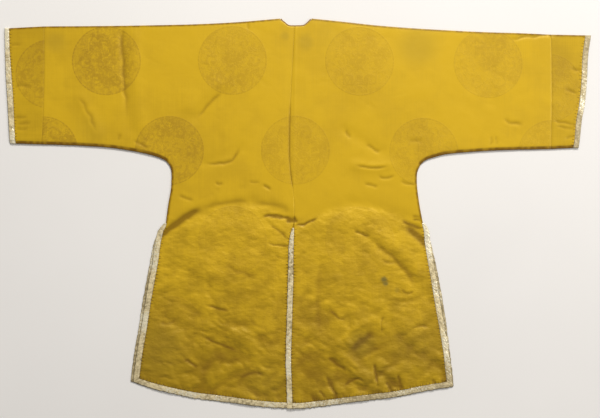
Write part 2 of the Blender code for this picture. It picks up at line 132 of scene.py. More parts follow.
# Outline in millimetres, +x to the right and +y towards the neck. Left and right differ as the robe is laid.
FOLD = {
    "left": [(-710, 525), (-554, 526), (-414, 528), (-285, 531), (-184, 536), (-117, 541), (-49, 547)],
    "right": [(710, 502), (622, 506), (522, 509), (421, 514), (320, 520), (219, 528), (118, 539), (39, 547)],
}
UNDERARM = {
    "left": [
        (-718, 194), (-654, 192), (-587, 189), (-520, 184), (-450, 173), (-414, 165), (-386, 156),
        (-369, 147), (-358, 133), (-354, 117), (-354, 94), (-356, 66), (-363, 27), (-370, -26),
    ],
    "right": [
        (710, 181), (622, 179), (555, 177), (488, 173), (421, 167), (387, 159), (362, 151), (346, 139),
        (337, 122), (334, 103), (335, 72), (341, 27), (346, -1), (351, -26),
    ],
}
ARMPIT = {"left": (-369, 147), "right": (346, 139)}
BAND_SEAM = {
    "left": [(-710, 525), (-710, 430), (-712, 318), (-715, 234), (-718, 194)],
    "right": [(710, 502), (711, 402), (711, 290), (710, 181)],
}
SATIN_END = {
    "left": [(-808, 520), (-807, 472), (-802, 397), (-797, 329), (-792, 217), (-790, 196)],
    "right": [(805, 500), (797, 441), (794, 374), (788, 307), (780, 262), (775, 206), (771, 184)],
}
CUFF_END = {
    "left": [(-821, 520), (-820, 472), (-818, 397), (-814, 329), (-808, 217), (-806, 197)],
    "right": [(821, 500), (813, 441), (810, 374), (804, 307), (796, 262), (790, 206), (787, 184)],
}
BACK_NECK = [
    (-44, 539), (-38, 534), (-32, 529), (-25, 525), (-9, 524), (15, 525), (23, 529), (29, 534), (34, 539),
]
CENTRE = [
    (-9, 524), (-12, 472), (-15, 416), (-19, 346), (-22, 285), (-24, 187), (-22, 133), (-17, 89),
    (-13, 63), (-10, 24), (-10, -23),
]
HEM = [
    (-480, -466), (-469, -470), (-419, -488), (-352, -505), (-285, -519), (-218, -527), (-150, -536),
    (-83, -544), (-22, -547), (18, -547), (85, -539), (152, -530), (219, -522), (286, -513), (354, -499),
    (421, -488), (437, -484), (450, -481),
]

# Below the vent tops: where each panel's cloth ends at the sides and at the lapped centre vent
Level = namedtuple("Level", "y back_left front_left lap vent back_right front_right")
SKIRT = [
    Level(-26, -370, -379, -11, -10, 351, 356),
    Level(-51, -377, -391, -19, -10, 353, 364),
    Level(-85, -384, -404, -25, -11, 356, 374),
    Level(-130, -390, -413, -27, -12, 363, 385),
    Level(-186, -400, -424, -28, -12, 373, 396),
    Level(-253, -412, -436, -30, -14, 384, 408),
    Level(-320, -422, -446, -32, -16, 396, 418),
    Level(-387, -434, -458, -34, -18, 407, 427),
    Level(-432, -440, -464, -34, -18, 412, 432),
    Level(-480, -446, -470, -32, -16, 418, 437),
    Level(-560, -454, -478, -30, -14, 425, 444),
]

# The largest folds of the back, which the solids have too, in millimetres. Each lies along a bend that starts
# at its first point, ends at its third and leans towards its second.
Fold = namedtuple("Fold", "x1 y1 x2 y2 x3 y3 height width")
FOLDS = [
    Fold(-489, 500, -490, 380, -470, 240, -1.4, 17),
    Fold(-455, 490, -458, 380, -440, 250, 1.6, 20),
    Fold(-610, 326, -585, 280, -560, 228, 1.8, 19),
    Fold(-282, 268, -250, 300, -212, 338, -1.4, 17),
    Fold(-300, 300, -265, 335, -230, 365, 1.8, 19),
    Fold(-259, 141, -215, 150, -162, 184, -1.4, 16),
    Fold(541, 470, 545, 400, 541, 312, -0.7, 16),
    Fold(482, 324, 458, 260, 443, 200, 1.0, 19),
    Fold(132, 234, 190, 195, 233, 175, -1.4, 16),
    Fold(160, 136, 205, 125, 253, 135, 1.9, 16),
    Fold(-375, -60, -270, 22, -130, 33, -1.4, 18),
    Fold(-130, 33, -60, 22, -20, -10, -1.3, 16),
    Fold(-300, -45, -215, -30, -120, -50, 2.4, 25),
    Fold(0, -40, 60, 15, 150, 30, -0.7, 17),
    Fold(150, 30, 270, 20, 345, -45, -1.4, 18),
    Fold(60, -40, 120, -20, 190, -15, 2.0, 24),
    Fold(180, -52, 250, -110, 328, -194, -1.5, 16),
    Fold(215, -42, 290, -100, 345, -165, 2.8, 18),
    Fold(62, -144, 66, -205, 62, -270, -1.4, 15),
    Fold(104, -368, 140, -335, 180, -304, 3.0, 16),
    Fold(118, -396, 160, -425, 202, -452, 2.6, 17),
    Fold(230, -430, 270, -450, 300, -470, 1.9, 17),
    Fold(-330, -158, -270, -205, -204, -242, -1.4, 16),
    Fold(-300, -120, -240, -165, -180, -200, 2.0, 20),
    Fold(-268, -346, -220, -370, -167, -390, -1.4, 16),
    Fold(-210, -320, -180, -345, -150, -365, 2.6, 17),
    Fold(-316, -410, -290, -430, -268, -450, 2.0, 17),
]

# The smaller creases, read off the photograph in its pixels: each runs through three points, with its height
# and width in millimetres. A soft ridge of height lift lies on its left, seen along it with y down.
Crease = namedtuple("Crease", "x1 y1 x2 y2 x3 y3 height width lift")
CREASES = [Crease(*row) for row in (
    # Left sleeve and band
    (123, 27, 123, 60, 127, 118, -1.6, 6, 1.1),
    (80, 97, 88, 112, 98, 133, -1.0, 5, 0.7),
    (133, 141, 140, 144, 148, 150, -1.2, 4, 0.6),
    (118, 134, 119, 137, 118, 141, -0.9, 4, 0.3),
    (10, 46, 15, 44, 21, 46, -0.9, 4, 0.5),
    (14, 89, 22, 86, 31, 89, -1.0, 4, 0.6),
    (14, 117, 20, 118, 27, 116, -0.8, 3.5, 0.5),
    (17, 123, 24, 124, 31, 122, -0.8, 3.5, 0.5),
    (15, 129, 21, 130, 28, 128, -0.7, 3.5, 0.4),
    # Left body
    (222, 93, 210, 104, 197, 118, -1.3, 5, 0.8),
    (240, 148, 228, 162, 205, 164, -1.7, 4.5, 0.9),
    (222, 182, 219, 184, 215, 182, -1.2, 4, 0.5),
    (260, 182, 254, 183, 248, 182, -0.8, 4, 0.4),
    (271, 189, 267, 188, 262, 185, -1.4, 4, 0.6),
    (194, 201, 186, 198, 178, 196, -1.1, 4, 0.6),
    (247, 22, 248, 26, 247, 30, -0.8, 6, 0.0),
    # Right body
    (350, 138, 348, 134, 345, 130, -1.1, 4, 0.4),
    (381, 151, 373, 149, 366, 144, -1.3, 4, 0.7),
    (388, 166, 372, 168, 355, 164, -1.5, 4, 0.8),
    (395, 176, 386, 178, 378, 176, -1.2, 4, 0.6),
    (378, 185, 371, 186, 364, 183, -1.1, 4, 0.6),
    (415, 185, 408, 184, 400, 180, -1.1, 4, 0.5),
    (424, 142, 416, 140, 408, 141, -0.8, 5, 0.4),
    # Right sleeve and band
    (560, 37, 535, 36, 508, 40, -1.4, 5, 0.8),
    (503, 119, 512, 123, 523, 125, -1.2, 4.5, 0.6),
    (490, 136, 492, 141, 490, 146, -0.9, 4, 0.3),
    (495, 135, 497, 141, 496, 145, -0.8, 4, 0.3),
    (571, 68, 576, 70, 583, 70, -1.1, 3.5, 0.6),
    (565, 89, 571, 91, 578, 94, -1.1, 3.5, 0.6),
    (553, 120, 564, 123, 576, 124, -1.2, 3.5, 0.7),
    (556, 126, 565, 128, 574, 129, -0.8, 3.5, 0.5),
    (565, 139, 570, 137, 576, 137, -0.9, 3.5, 0.5),
    # The slack that hangs between the tops of the vents, left and right
    (203, 209, 178, 221, 158, 240, -2.1, 12, 1.0),
    (251, 203, 226, 202, 199, 210, -0.6, 9, 0.6),
    (288, 214, 277, 205, 250, 204, -0.6, 8, 0.6),
    (298, 222, 291, 219, 283, 217.5, -3.4, 4.5, 1.0),
    (291, 219.5, 277, 216.5, 262, 217, -2.4, 3, 0.7),
    (296, 217, 291, 220, 286, 222, -2.6, 4, 0.5),
    (318, 218, 307, 223, 295, 226, -1.8, 3.5, 0.1),
    (423, 229, 412, 225, 402, 220, -1.8, 6, 1.2),
    (428, 249, 419, 237, 404, 226, -1.7, 13, 0.6),
    (420, 218.5, 417, 217, 412, 216, -1.1, 3.5, 0.8),
    (423, 222.5, 418, 220.5, 412, 219, -1.2, 3.5, 0.8),
    # Left skirt
    (289, 240, 279, 231, 270, 224, -0.8, 4, 0.2),
    (290, 246, 280, 245, 266, 243, -1.2, 4, 0.2),
    (288, 258, 281, 258, 275, 255, -0.5, 4, 0.2),
    (230, 311, 219, 309, 205, 304, -1.2, 5, 0.5),
    (238, 353, 220, 344, 199, 336, -1.3, 5, 0.7),
    (198, 368, 191, 363, 183, 360, -1.2, 4.5, 0.6),
    (200, 379, 193, 384, 186, 388, 1.4, 7, 0.0),
    (258, 276, 240, 272, 224, 262, -0.7, 9, 0.4),
    (272, 330, 258, 326, 246, 316, -0.4, 6, 0.1),
    (268, 376, 252, 373, 238, 380, -1.0, 6, 0.5),
    (176, 318, 168, 324, 158, 322, -0.8, 4.5, 0.1),
    # Right skirt
    (415, 285, 398, 262, 362, 233, -0.9, 9, 0.6),
    (371, 236, 362, 234, 354, 229, -1.3, 4, 0.6),
    (398, 262, 390, 263, 381, 258, -0.7, 6, 0.3),
    (322, 256, 318, 300, 322, 348, -0.5, 15, 0.3),
    (376, 319, 355, 329, 335, 346, 1.0, 7, 0.0),
    (376, 332, 362, 341, 348, 352, -1.2, 17, 0.4),
    (337, 352, 349, 361, 361, 369, 0.5, 6, 0.0),
    (347, 371, 337, 364, 327, 357, -1.8, 6, 0.5),
    (374.3, 362, 375.5, 375, 377.3, 388, -1.9, 4, 0.9),
    (385.5, 382, 389, 387, 392.5, 393, -1.7, 4, 0.7),
    (328, 376, 332, 387, 337.5, 397.5, -2.4, 4.5, 1.3),
    (397, 374, 399.5, 382, 402, 390, -1.9, 4, 0.9),
    (320, 390, 322, 394, 326, 399, -1.5, 4, 0.5),
    (344, 386, 355, 379, 367, 383.5, -1.9, 4.5, 0.7),
    (415, 292, 408, 293, 400, 289, -0.8, 3.5, 0.4),
    (347, 320, 337, 317, 329, 309, -1.1, 5, 0.5),
    (384, 316, 382, 324, 383, 334, -0.9, 4, 0.4),
    (430, 330, 421, 326, 410, 329, -0.9, 4.5, 0.3),
)]

# The line between the taut upper back and the slack skirt, from side vent to side vent, in pixels
SLACK_LINE = [
    (150, 250), (160, 238), (175, 225), (200, 208), (225, 202), (250, 201), (275, 208), (294, 222),
    (310, 215), (340, 203), (370, 203), (400, 210), (425, 230), (440, 250),
]
SLACK_BLEND = 26 * MM

# How far the creases stray from their bends, how blunt their ends are and over what share they fade, where
# their ridges lie in widths of the trough, how wide their lines of painted shade are beside the troughs, and
# at what depth the painted shade is darkest
WOBBLE = 6 * MM
WOBBLE_CELL = (17 * MM, 17 * MM)
CREASE_FADE = 0.3
CREASE_BLUNT = 0.15
RIDGE_OFF = 1.9
RIDGE_WIDE = 1.3
LINED = 0.6
LEAST_LINE = 2.8 * MM
DARKEST = 2.0 * MM

# Small dimples, scattered at random: how many, the corners of their field, the ranges of their half length,
# half width and height, all in millimetres, and their largest tilt in degrees
Scatter = namedtuple("Scatter", "count low high length width depth tilt")
DIMPLES = [
    Scatter(260, (-450, -525), (420, -10), (6, 18), (2.2, 4.0), (-0.8, -0.3), 30),
    Scatter(160, (-450, -525), (420, -10), (6, 18), (2.4, 4.5), (0.3, 0.8), 35),
    Scatter(70, (-700, 20), (700, 500), (8, 24), (3.0, 5.0), (-0.3, -0.1), 60),
]
DIMPLE_REACH = 2.6

# Random draws: one seed for each use
SEED = 11
DRAWS = ("dimples", "crumple", "stitches", "knots", "loops", "rims", "wobble", "gathers")

# Crumpling: layers of creased noise, each with its cell, height and turn in millimetres and degrees, how far
# it is warped, how round its valleys are, its share above the slack line, and where the skirt's depth grows
Layer = namedtuple("Layer", "cell_x cell_y height turn")
CRUMPLE = [Layer(110, 62, 3.4, 38), Layer(60, 38, 2.4, -28), Layer(30, 20, 1.3, 30), Layer(15, 11, 0.4, -8)]
CRUMPLE_WARP = 40 * MM
WARP_CELL = (90 * MM, 70 * MM)
VALLEY_ROUND = 0.01
VALLEY_MIDDLE = 0.45
CRUMPLE_ABOVE = 0.11
SKIRT_DEPTH = 500 * MM
STIFFENED = 12 * MM
TABLE = 89

# How far the dents of the stitches reach, and the waves that make them uneven
DENT_REACH = 9 * MM
DENT_WAVES = (37 * MM, 13 * MM, 43 * MM)

# Gathers above the hem's ribbon, deeper on the right: their cell, reach, lean and depth
GATHER_CELL = (12 * MM, 45 * MM)
GATHER_REACH = 30 * MM
GATHER_LEAN = -0.45
GATHERS = {"left": 0.6 * MM, "right": 1.4 * MM}

# Pressed seams: the centre seam's sunk edges, deepest between two places, the ridge of its allowance and its
# straight inner edge, and the band seams
SEAM_SINK = 1.0 * MM
SEAM_SINK_WIDTH = 3.0 * MM
SEAM_DEEP = (188, 106)
SEAM_DEEP_BLEND = 20 * MM
ALLOWANCE = 0.55 * MM
ALLOWANCE_X = (295.6, 292.9)
ALLOWANCE_WIDTH = 3.4 * MM
BAND_SINK = 0.25 * MM
BAND_STARTS = 600 * MM

# How unevenly the ribbon's looped outer edge ends, as a share of its width, and over how many cells it is
# stiff
LOOPED = 0.12
LOOP_CELL = (6 * MM, 6 * MM)
RIBBON_STIFF = 7

# Relief of the ribbon: its knots' cell and height, its lozenges, its sunk edges and its slow waves
KNOT_CELL = (5.2 * MM, 4.1 * MM)
KNOT_HEIGHT = 0.9 * MM
LOZENGE_HEIGHT = 0.05 * MM
EDGE_DEPTH = 0.15 * MM
EDGE_SHARE = 0.12
WAVE_HEIGHT = 0.14 * MM
RIBBON_WAVES = (21 * MM, 8.5 * MM)

# Closed edges, where the cloth rolls over: how far in and down, how dark its painted shade is, and how uneven
# it is
Roll = namedtuple("Roll", "reach drop shade")
ROLLS = {"fold": Roll(3.4, 0.5, 0.8), "sleeve": Roll(5.6, 0.8, 1.0), "side": Roll(3.2, 0.6, 0.8)}
RIM_CELL = (9 * MM, 1.0)
RIM_PITCH = 13 * MM
RIM_MARKS = 900

CENTRE_EDGE = {"left": "lap", "right": "vent"}
AWAY = {"left": -1, "right": 1}
TURN = {"left": 1, "right": -1}
SIDES = ("left", "right")


def number_property(name, description, value, **kind):
    """A number that the user can change, with its unit or subtype."""
    return FloatProperty(name=name, description=description, default=value, **kind)


def colour_property(name, description, value):
    """A colour that the user can change."""
    return FloatVectorProperty(name=name, description=description, default=value, subtype="COLOR", size=3)


class RobeSizes(PropertyGroup):
    """Sizes that change the look of the cloth and the sewing."""

    shell: number_property("Silk", "Thickness of the silk with its backing", 1.0 * MM, unit="LENGTH")
    ribbon: number_property("Ribbon", "Thickness of the metal thread ribbon", 0.9 * MM, unit="LENGTH")
    creases: number_property("Creases", "How deep the smaller creases are", 1.0, subtype="FACTOR", max=2.0)
    pucker: number_property("Pucker", "Depth of the dents along the sewn edges", 0.7 * MM, unit="LENGTH")
    stitch_pitch: number_property("Stitches", "Distance between whip stitches", 9 * MM, unit="LENGTH")
    thread: number_property("Thread", "Thickness of the thread", 0.75 * MM, unit="LENGTH")
    lozenge: number_property("Lozenge", "Repeat of the ribbon's lozenges", 9 * MM, unit="LENGTH")
    roundel: number_property("Roundel", "Radius of the damask roundels", 98 * MM, unit="LENGTH")
    repeat_down: number_property("Repeat down", "Distance between rows that line up", 504 * MM, unit="LENGTH")


class RobeColours(PropertyGroup):
    """Colours of the silk, the ribbons, the thread and the stage."""

    satin: colour_property("Satin", "The silk's ground", (0.66, 0.412, 0.013))
    # painted shade: the darker ground that the satin turns to towards the bottom, the left and in the slack
    # skirt, and in random duller patches
    worn_and_shaded: colour_property("Worn satin", "The duller ground of the skirt", (0.365, 0.222, 0.006))
    figure: colour_property("Figure", "The damask figure", (0.38, 0.215, 0.012))
    # painted shade: the colour of the satin deep in its creases and at its rolled edges; the binding's and
    # the thread's darker patches use it too
    crease: colour_property("Crease", "Deep in the creases", (0.15, 0.065, 0.003))
    stain: colour_property("Stain", "The grey spots on the skirt", (0.10, 0.095, 0.035))
    binding: colour_property("Binding", "The binding at the neck", (0.30, 0.15, 0.010))
    gold: colour_property("Gold", "The ribbon's gilt thread", (0.88, 0.735, 0.43))
    silver: colour_property("Silver", "The ribbon's dulled silver thread", (0.29, 0.22, 0.10))
    glint: colour_property("Glint", "Thread that catches the light", (1.0, 0.91, 0.66))
    # dark selvedge lines, partly painted shadow along the ribbons' edges and on the front's ribbons beside
    # the back's
    selvedge_and_shadow: colour_property("Selvedge", "The ribbon's dulled edges", (0.16, 0.12, 0.05))
    thread: colour_property("Thread", "The sewing thread", (0.14, 0.075, 0.008))
    floor: colour_property("Floor", "The plain pale floor", (0.895, 0.872, 0.845))


class RobeLight(PropertyGroup):
    """Light and camera."""

    key: number_property("Key", "Power of the soft key light", 330.0, unit="POWER")
    top: number_property("Top", "Power of the light above the neck", 7.0, unit="POWER")
    side: number_property("Side", "Power of the light on the right", 40.0, unit="POWER")
    fill: number_property("Fill", "Strength of the light from all round", 0.28)
    lens: number_property("Lens", "The camera's focal length", 50.0, unit="CAMERA")


def chance_for(draw):
    """The random numbers of one use, the same in each run."""
    return np.random.default_rng(SEED + DRAWS.index(draw))


def place(px, py):
    """A point of the photograph on the floor, in metres."""
    return np.array([px - PHOTO_ORIGIN[0], PHOTO_ORIGIN[1] - py]) * PIXEL


def smooth(points, scale=MM):
    """Even curve through the points, as a fine polyline in metres."""
    knots = np.array(points, float) * scale
    ends = [2 * knots[0] - knots[1], *knots, 2 * knots[-1] - knots[-2]]
    line = []
    for before, start, end, after in zip(ends, ends[1:], ends[2:], ends[3:]):
        for t in np.linspace(0, 1, CURVE_STEPS, endpoint=False):
            bend = (2 * before - 5 * start + 4 * end - after) * t * t
            twist = (3 * start - before - 3 * end + after) * t**3
            line.append(0.5 * (2 * start + (end - before) * t + bend + twist))
    line.append(knots[-1])
    return np.array(line)


def lengths_along(line):
    """Distance of each point of a polyline from its start."""
    steps = np.linalg.norm(np.diff(line, axis=0), axis=1)
    return np.concatenate([[0], np.cumsum(steps)])


def at_marks(line, marks):
    """Points of a polyline at distances from its start."""
    along = lengths_along(line)
    return np.column_stack([np.interp(marks, along, line[:, 0]), np.interp(marks, along, line[:, 1])])


def divide(line, cells):
    """Points at even steps along a polyline."""
    return at_marks(line, np.linspace(0, lengths_along(line)[-1], cells + 1))


def split(line, at):
    """The two parts of a polyline on each side of the point nearest to a place."""
    nearest = int(np.argmin(np.linalg.norm(line - np.array(at), axis=1)))
    return line[: nearest + 1], line[nearest:]


def outward(line, turn):
    """Unit vectors square to a polyline: to its left for turn 1, to its right for turn -1."""
    along = np.gradient(line, axis=0)
    along /= np.linalg.norm(along, axis=1)[:, None]
    return turn * np.column_stack([-along[:, 1], along[:, 0]])


def present_in(grid):
    """Which places of a grid hold a point."""
    return ~np.isnan(grid[..., 0])


def column(name):
    """A column of the skirt's table as a function of y, both in metres."""
    line = smooth([(row.y, getattr(row, name)) for row in SKIRT])[::-1]
    return lambda y: np.interp(y, line[:, 0], line[:, 1])


def hem_line(layer, up):
    """The hem as a function of x, at a height above one panel's lower edge."""
    line = smooth(HEM)
    raised = up + (FRONT_SHOWS if layer == "back" else 0.0)
    return lambda x: np.interp(x, line[:, 0], line[:, 1]) + raised


def crossing(edge, hem, shift=0.0):
    """Where a side edge, moved sideways, meets a hem."""
    y = HEM[0][1] * MM
    for _ in range(MEETING_STEPS):
        x = edge(y) + shift
        y = hem(x)
    return np.array([x, y])


def patch(west, east, north, south):
    """Grid between four edges that share their corners. Rows run from north to south."""
    u = np.linspace(0, 1, len(north))[:, None, None]
    v = np.linspace(0, 1, len(west))[None, :, None]
    across = (1 - u) * west[None] + u * east[None]
    down = (1 - v) * north[:, None] + v * south[:, None]
    corners = (1 - u) * ((1 - v) * north[0] + v * south[0]) + u * ((1 - v) * north[-1] + v * south[-1])
    return across + down - corners


def bend_points(start, middle, end):
    """Points along a bend, in metres."""
    shares = np.linspace(0, 1, BEND_STEPS + 1)
    return [(1 - t) ** 2 * start + 2 * t * (1 - t) * middle + t * t * end for t in shares]


def ease(value):
    """Smooth step from 0 to 1."""
    value = np.clip(value, 0.0, 1.0)
    return value * value * (3 - 2 * value)


def from_bend(points, bend):
    """Each point's distance to a bend, positive on its left, and its share along the bend."""
    nearest = np.full(len(points), np.inf)
    signed = np.zeros(len(points))
    share = np.zeros(len(points))
    for step, (start, end) in enumerate(zip(bend, bend[1:])):
        run = end - start
        away = points - start
        t = np.clip(away @ run / (run @ run), 0, 1)
        distance = np.linalg.norm(away - t[:, None] * run, axis=1)
        side = np.where(run[0] * away[:, 1] > run[1] * away[:, 0], 1.0, -1.0)
        nearer = distance < nearest
        nearest = np.where(nearer, distance, nearest)
        signed = np.where(nearer, distance * side, signed)
        share = np.where(nearer, (step + t) / BEND_STEPS, share)
    return signed, share


SKIRT_EDGES = {name: column(name) for name in Level._fields[1:]}
CENTRE_LINE = smooth(CENTRE)[::-1]
VENT_TOP = CENTRE[-1][1] * MM
SLACK_EDGE = smooth([place(*point) for point in SLACK_LINE], 1.0)


def x_of(line, y):
    """A line's x at each y, for a line whose points rise."""
    return np.interp(y, line[:, 1], line[:, 0])


def centre_x(y, side):
    """The centre back seam, and below it the satin's edge on one side of the vent."""
    return np.where(y < VENT_TOP, SKIRT_EDGES[CENTRE_EDGE[side]](y), x_of(CENTRE_LINE, y))


def vent_opens(y):
    """How far the centre vent's lap has opened at each y, from 0 to 1."""
    return ease((LAP_START - y) / (LAP_START - LAP_FULL))


def fold_bends():
    """The solids' folds as bends in metres, with height and width."""
    for fold in FOLDS:
        start, middle, end = np.array(fold[:6]).reshape(3, 2) * MM
        yield bend_points(start, middle, end), fold.height * MM, fold.width * MM


def near_bend(points, bend, reach):
    """Which points are near a bend."""
    low = np.min(bend, axis=0) - reach
    high = np.max(bend, axis=0) + reach
    return np.all((points > low) & (points < high), axis=1)


def laid_height(points, side):
    """Height of the solid back's upper face: its folds, its billows, the centre seam and the lapped vent."""
    x, y = points.T
    height = np.full(len(points), LAID)
    for bend, rise, width in fold_bends():
        near = near_bend(points, bend, 3 * width)
        away = from_bend(points[near], bend)[0] / width
        height[near] += rise * np.exp(-away * away)
    height += BILLOW * np.sin(x / BILLOW_X[0] + BILLOW_X[1]) * np.sin(y / BILLOW_Y[0] + BILLOW_Y[1])
    off_centre = np.abs(x - centre_x(y, side))
    opened = vent_opens(y)
    height -= SEAM_DIP * np.exp(-((off_centre / SEAM_DIP_WIDTH) ** 2)) * (1 - opened)
    lap = LAP_OVER if side == "right" else LAP_UNDER
    return height + lap * opened * (1 - ease(off_centre / LAP_REACH))


def slack(points):
    """How far each point is into the slack skirt, from 0 above the vents' tops to 1."""
    line = np.interp(points[:, 0], SLACK_EDGE[:, 0], SLACK_EDGE[:, 1])
    return ease((line - points[:, 1]) / SLACK_BLEND)


def crease_height(points):
    """Height that the smaller creases add, each fading out at its ends, and their narrower lines of painted
    shade.
    """
    height, lined = np.zeros((2, len(points)))
    loose = slack(points)
    wobble = lattice_noise(points, WOBBLE_CELL, chance_for("wobble")) - 0.5
    for crease in CREASES:
        start, middle, end = (place(*pair) for pair in np.array(crease[:6]).reshape(3, 2))
        bend = bend_points(start, 2 * middle - (start + end) / 2, end)
        width = crease.width * MM
        near = near_bend(points, bend, 4 * width)
        signed, share = from_bend(points[near], bend)
        signed += WOBBLE * wobble[near]
        fade = ease(share / CREASE_FADE + CREASE_BLUNT) * ease((1 - share) / CREASE_FADE + CREASE_BLUNT)
        trough = crease.height * np.exp(-((signed / width) ** 2))
        ridge = np.exp(-(((signed + RIDGE_OFF * width) / (RIDGE_WIDE * width)) ** 2))
        ridge = (0.25 + 0.2 * loose[near]) * crease.lift * ridge
        height[near] += (trough + ridge) * fade * MM
        line = -crease.height * np.exp(-((signed / max(LINED * width, LEAST_LINE)) ** 2))
        lined[near] = np.maximum(lined[near], line * fade * MM)
    return height, lined


def dimple_height(points):
    """Height that the scattered dimples add."""
    height = np.zeros(len(points))
    chance = chance_for("dimples")
    for kind in DIMPLES:
        for _ in range(kind.count):
            middle = chance.uniform(kind.low, kind.high) * MM
            ranges = (kind.length, kind.width, kind.depth)
            length, width, depth = (chance.uniform(*reach) * MM for reach in ranges)
            tilt = chance.uniform(-kind.tilt, kind.tilt)
            near = np.all(np.abs(points - middle) < DIMPLE_REACH * length, axis=1)
            along, across = turned(points[near] - middle, -tilt).T
            height[near] += depth * np.exp(-((along / length) ** 2) - (across / width) ** 2)
    return height


def turned(points, degrees):
    """Points turned about the origin."""
    cosine = math.cos(math.radians(degrees))
    sine = math.sin(math.radians(degrees))
    return points @ np.array([[cosine, sine], [-sine, cosine]])


def lattice_noise(points, cell, chance):
    """Smooth noise from 0 to 1, from one seeded number for each corner of a lattice."""
    numbers = chance.random((TABLE, TABLE))
    spot = points / np.array(cell)
    low = np.floor(spot).astype(int)
    share_x, share_y = ease(spot - low).T
    west, south = (low % TABLE).T
    east, north = ((low + 1) % TABLE).T
    below = numbers[west, south] * (1 - share_x) + numbers[east, south] * share_x
    above = numbers[west, north] * (1 - share_x) + numbers[east, north] * share_x
    return below * (1 - share_y) + above * share_y


def crumple_height(points):
    """Soft creases of slack silk, sharpest in their valleys."""
    chance = chance_for("crumple")
    warp = np.column_stack([lattice_noise(points, WARP_CELL, chance) for _ in "xy"])
    warped = points + (warp - 0.5) * CRUMPLE_WARP
    height = np.zeros(len(points))
    for layer in CRUMPLE:
        spot = turned(warped, layer.turn)
        noise = lattice_noise(spot, (layer.cell_x * MM, layer.cell_y * MM), chance)
        height += layer.height * MM * (np.sqrt((2 * noise - 1) ** 2 + VALLEY_ROUND) - VALLEY_MIDDLE)
    return height


def dents(distance, along, depth, pitch):
    """Uneven dents along an edge, fading away from it."""
    long_wave, short_wave, drift_wave = DENT_WAVES
    uneven = 1 + 0.5 * np.sin(along / long_wave) + 0.4 * np.sin(along / short_wave + 1)
    drift = 1.4 * np.sin(along / drift_wave)
    beat = 0.5 + 0.5 * np.cos(2 * math.pi * along / pitch + drift)
    return -depth * beat * uneven * np.exp(-((distance / DENT_REACH) ** 2))


def edge_distances(points, side):
    """Distance of each point from the centre, from its side edge and from the hem's ribbon."""
    x, y = points.T
    off_side = np.abs(x - SKIRT_EDGES[f"back_{side}"](y))
    return np.abs(x - centre_x(y, side)), off_side, np.abs(y - hem_line("back", RIBBON_WIDTH)(x))


def sewn_height(points, side, sizes):
    """Height that the pressed seams and the sewn edges add."""
    x, y = points.T
    height = np.zeros(len(points))
    above = 1 - vent_opens(y)
    off_centre, off_side, off_hem = edge_distances(points, side)
    low, high = (place(0, row)[1] for row in SEAM_DEEP)
    blend = SEAM_DEEP_BLEND
    deep = 0.25 + 0.75 * ease((y - low + blend) / (2 * blend)) * ease((high + blend - y) / (2 * blend))
    height -= SEAM_SINK * deep * np.exp(-((off_centre / SEAM_SINK_WIDTH) ** 2)) * above
    top, foot = (place(column_x, 0)[0] for column_x in ALLOWANCE_X)
    neck = CENTRE[0][1] * MM
    share = np.clip((neck - y) / ((CENTRE[0][1] - CENTRE[-1][1]) * MM), 0, 1)
    off_allowance = (x - top - (foot - top) * share) / ALLOWANCE_WIDTH
    height += ALLOWANCE * np.exp(-(off_allowance**2)) * above
    off_band = np.abs(x - x_of(smooth(BAND_SEAM[side])[::-1], y))
    height -= BAND_SINK * np.exp(-((off_band / SEAM_SINK_WIDTH) ** 2)) * (np.abs(x) > BAND_STARTS)
    below = ease((VENT_TOP - y) / VENT_TOP_BLEND)
    stitched = (sizes.pucker, sizes.stitch_pitch)
    sewn = dents(off_side, y, *stitched) + dents(off_centre, y, *stitched) + dents(off_hem, x, *stitched)
    gathered = np.column_stack([x - GATHER_LEAN * off_hem, off_hem])
    beat = ease(2.4 * lattice_noise(gathered, GATHER_CELL, chance_for("gathers")) - 1.0)
    gathers = GATHERS[side] * beat * np.exp(-((off_hem / GATHER_REACH) ** 2))
    return height + below * (sewn - gathers)


def back_height(points, side, sizes):
    """Height of the silk's upper face, and how deep it lies in its creases, which the satin paints as shade.
    """
    loose = slack(points)
    lower = ease(-points[:, 1] / SKIRT_DEPTH)
    free = np.ones(len(points))
    for distance in edge_distances(points, side):
        free *= 1 - 0.65 * loose * np.exp(-((distance / STIFFENED) ** 2))
    crumple = crumple_height(points) * (CRUMPLE_ABOVE + (0.45 + 1.7 * lower**2) * loose) * free
    dimples = dimple_height(points) * free
    creases, lined = crease_height(points)
    sewn = sewn_height(points, side, sizes)
    soft = crumple + dimples + (1.25 + 0.35 * loose) * creases
    top = laid_height(points, side) + sizes.creases * soft + sewn
    # painted shade: the deeper a point lies in the creases, dimples, dents and the slack skirt, the darker it
    # is painted
    lined = (0.7 * creases - lined) * (0.5 + 0.5 * slack(points + [0, -SLACK_BLEND]))
    deep = lined + 0.35 * (crumple + 0.8 * MM * loose) + 0.4 * dimples + 1.2 * sewn
    return np.maximum(top, LOWEST_BACK), np.clip(-deep / DARKEST, 0, 1)


def strip_noise(along, across, cell, draw):
    """Noise over the lengths along and across a strip, as an array like them."""
    spots = np.column_stack([np.ravel(along), np.ravel(across)])
    return np.reshape(lattice_noise(spots, cell, chance_for(draw)), np.shape(along))


def rolled(distance, along, kind, sizes):
    """Height and painted shade where the cloth rolls over a closed edge."""
    roll = ROLLS[kind]
    near = np.exp(-((distance / (roll.reach * MM)) ** 4))
    uneven = 0.5 + 0.6 * strip_noise(along, distance, RIM_CELL, "rims")
    puckers = dents(distance, along, 0.5 * sizes.pucker, RIM_PITCH)
    return puckers - roll.drop * MM * near * uneven, np.clip(1.4 * roll.shade * near * uneven, 0, 1)


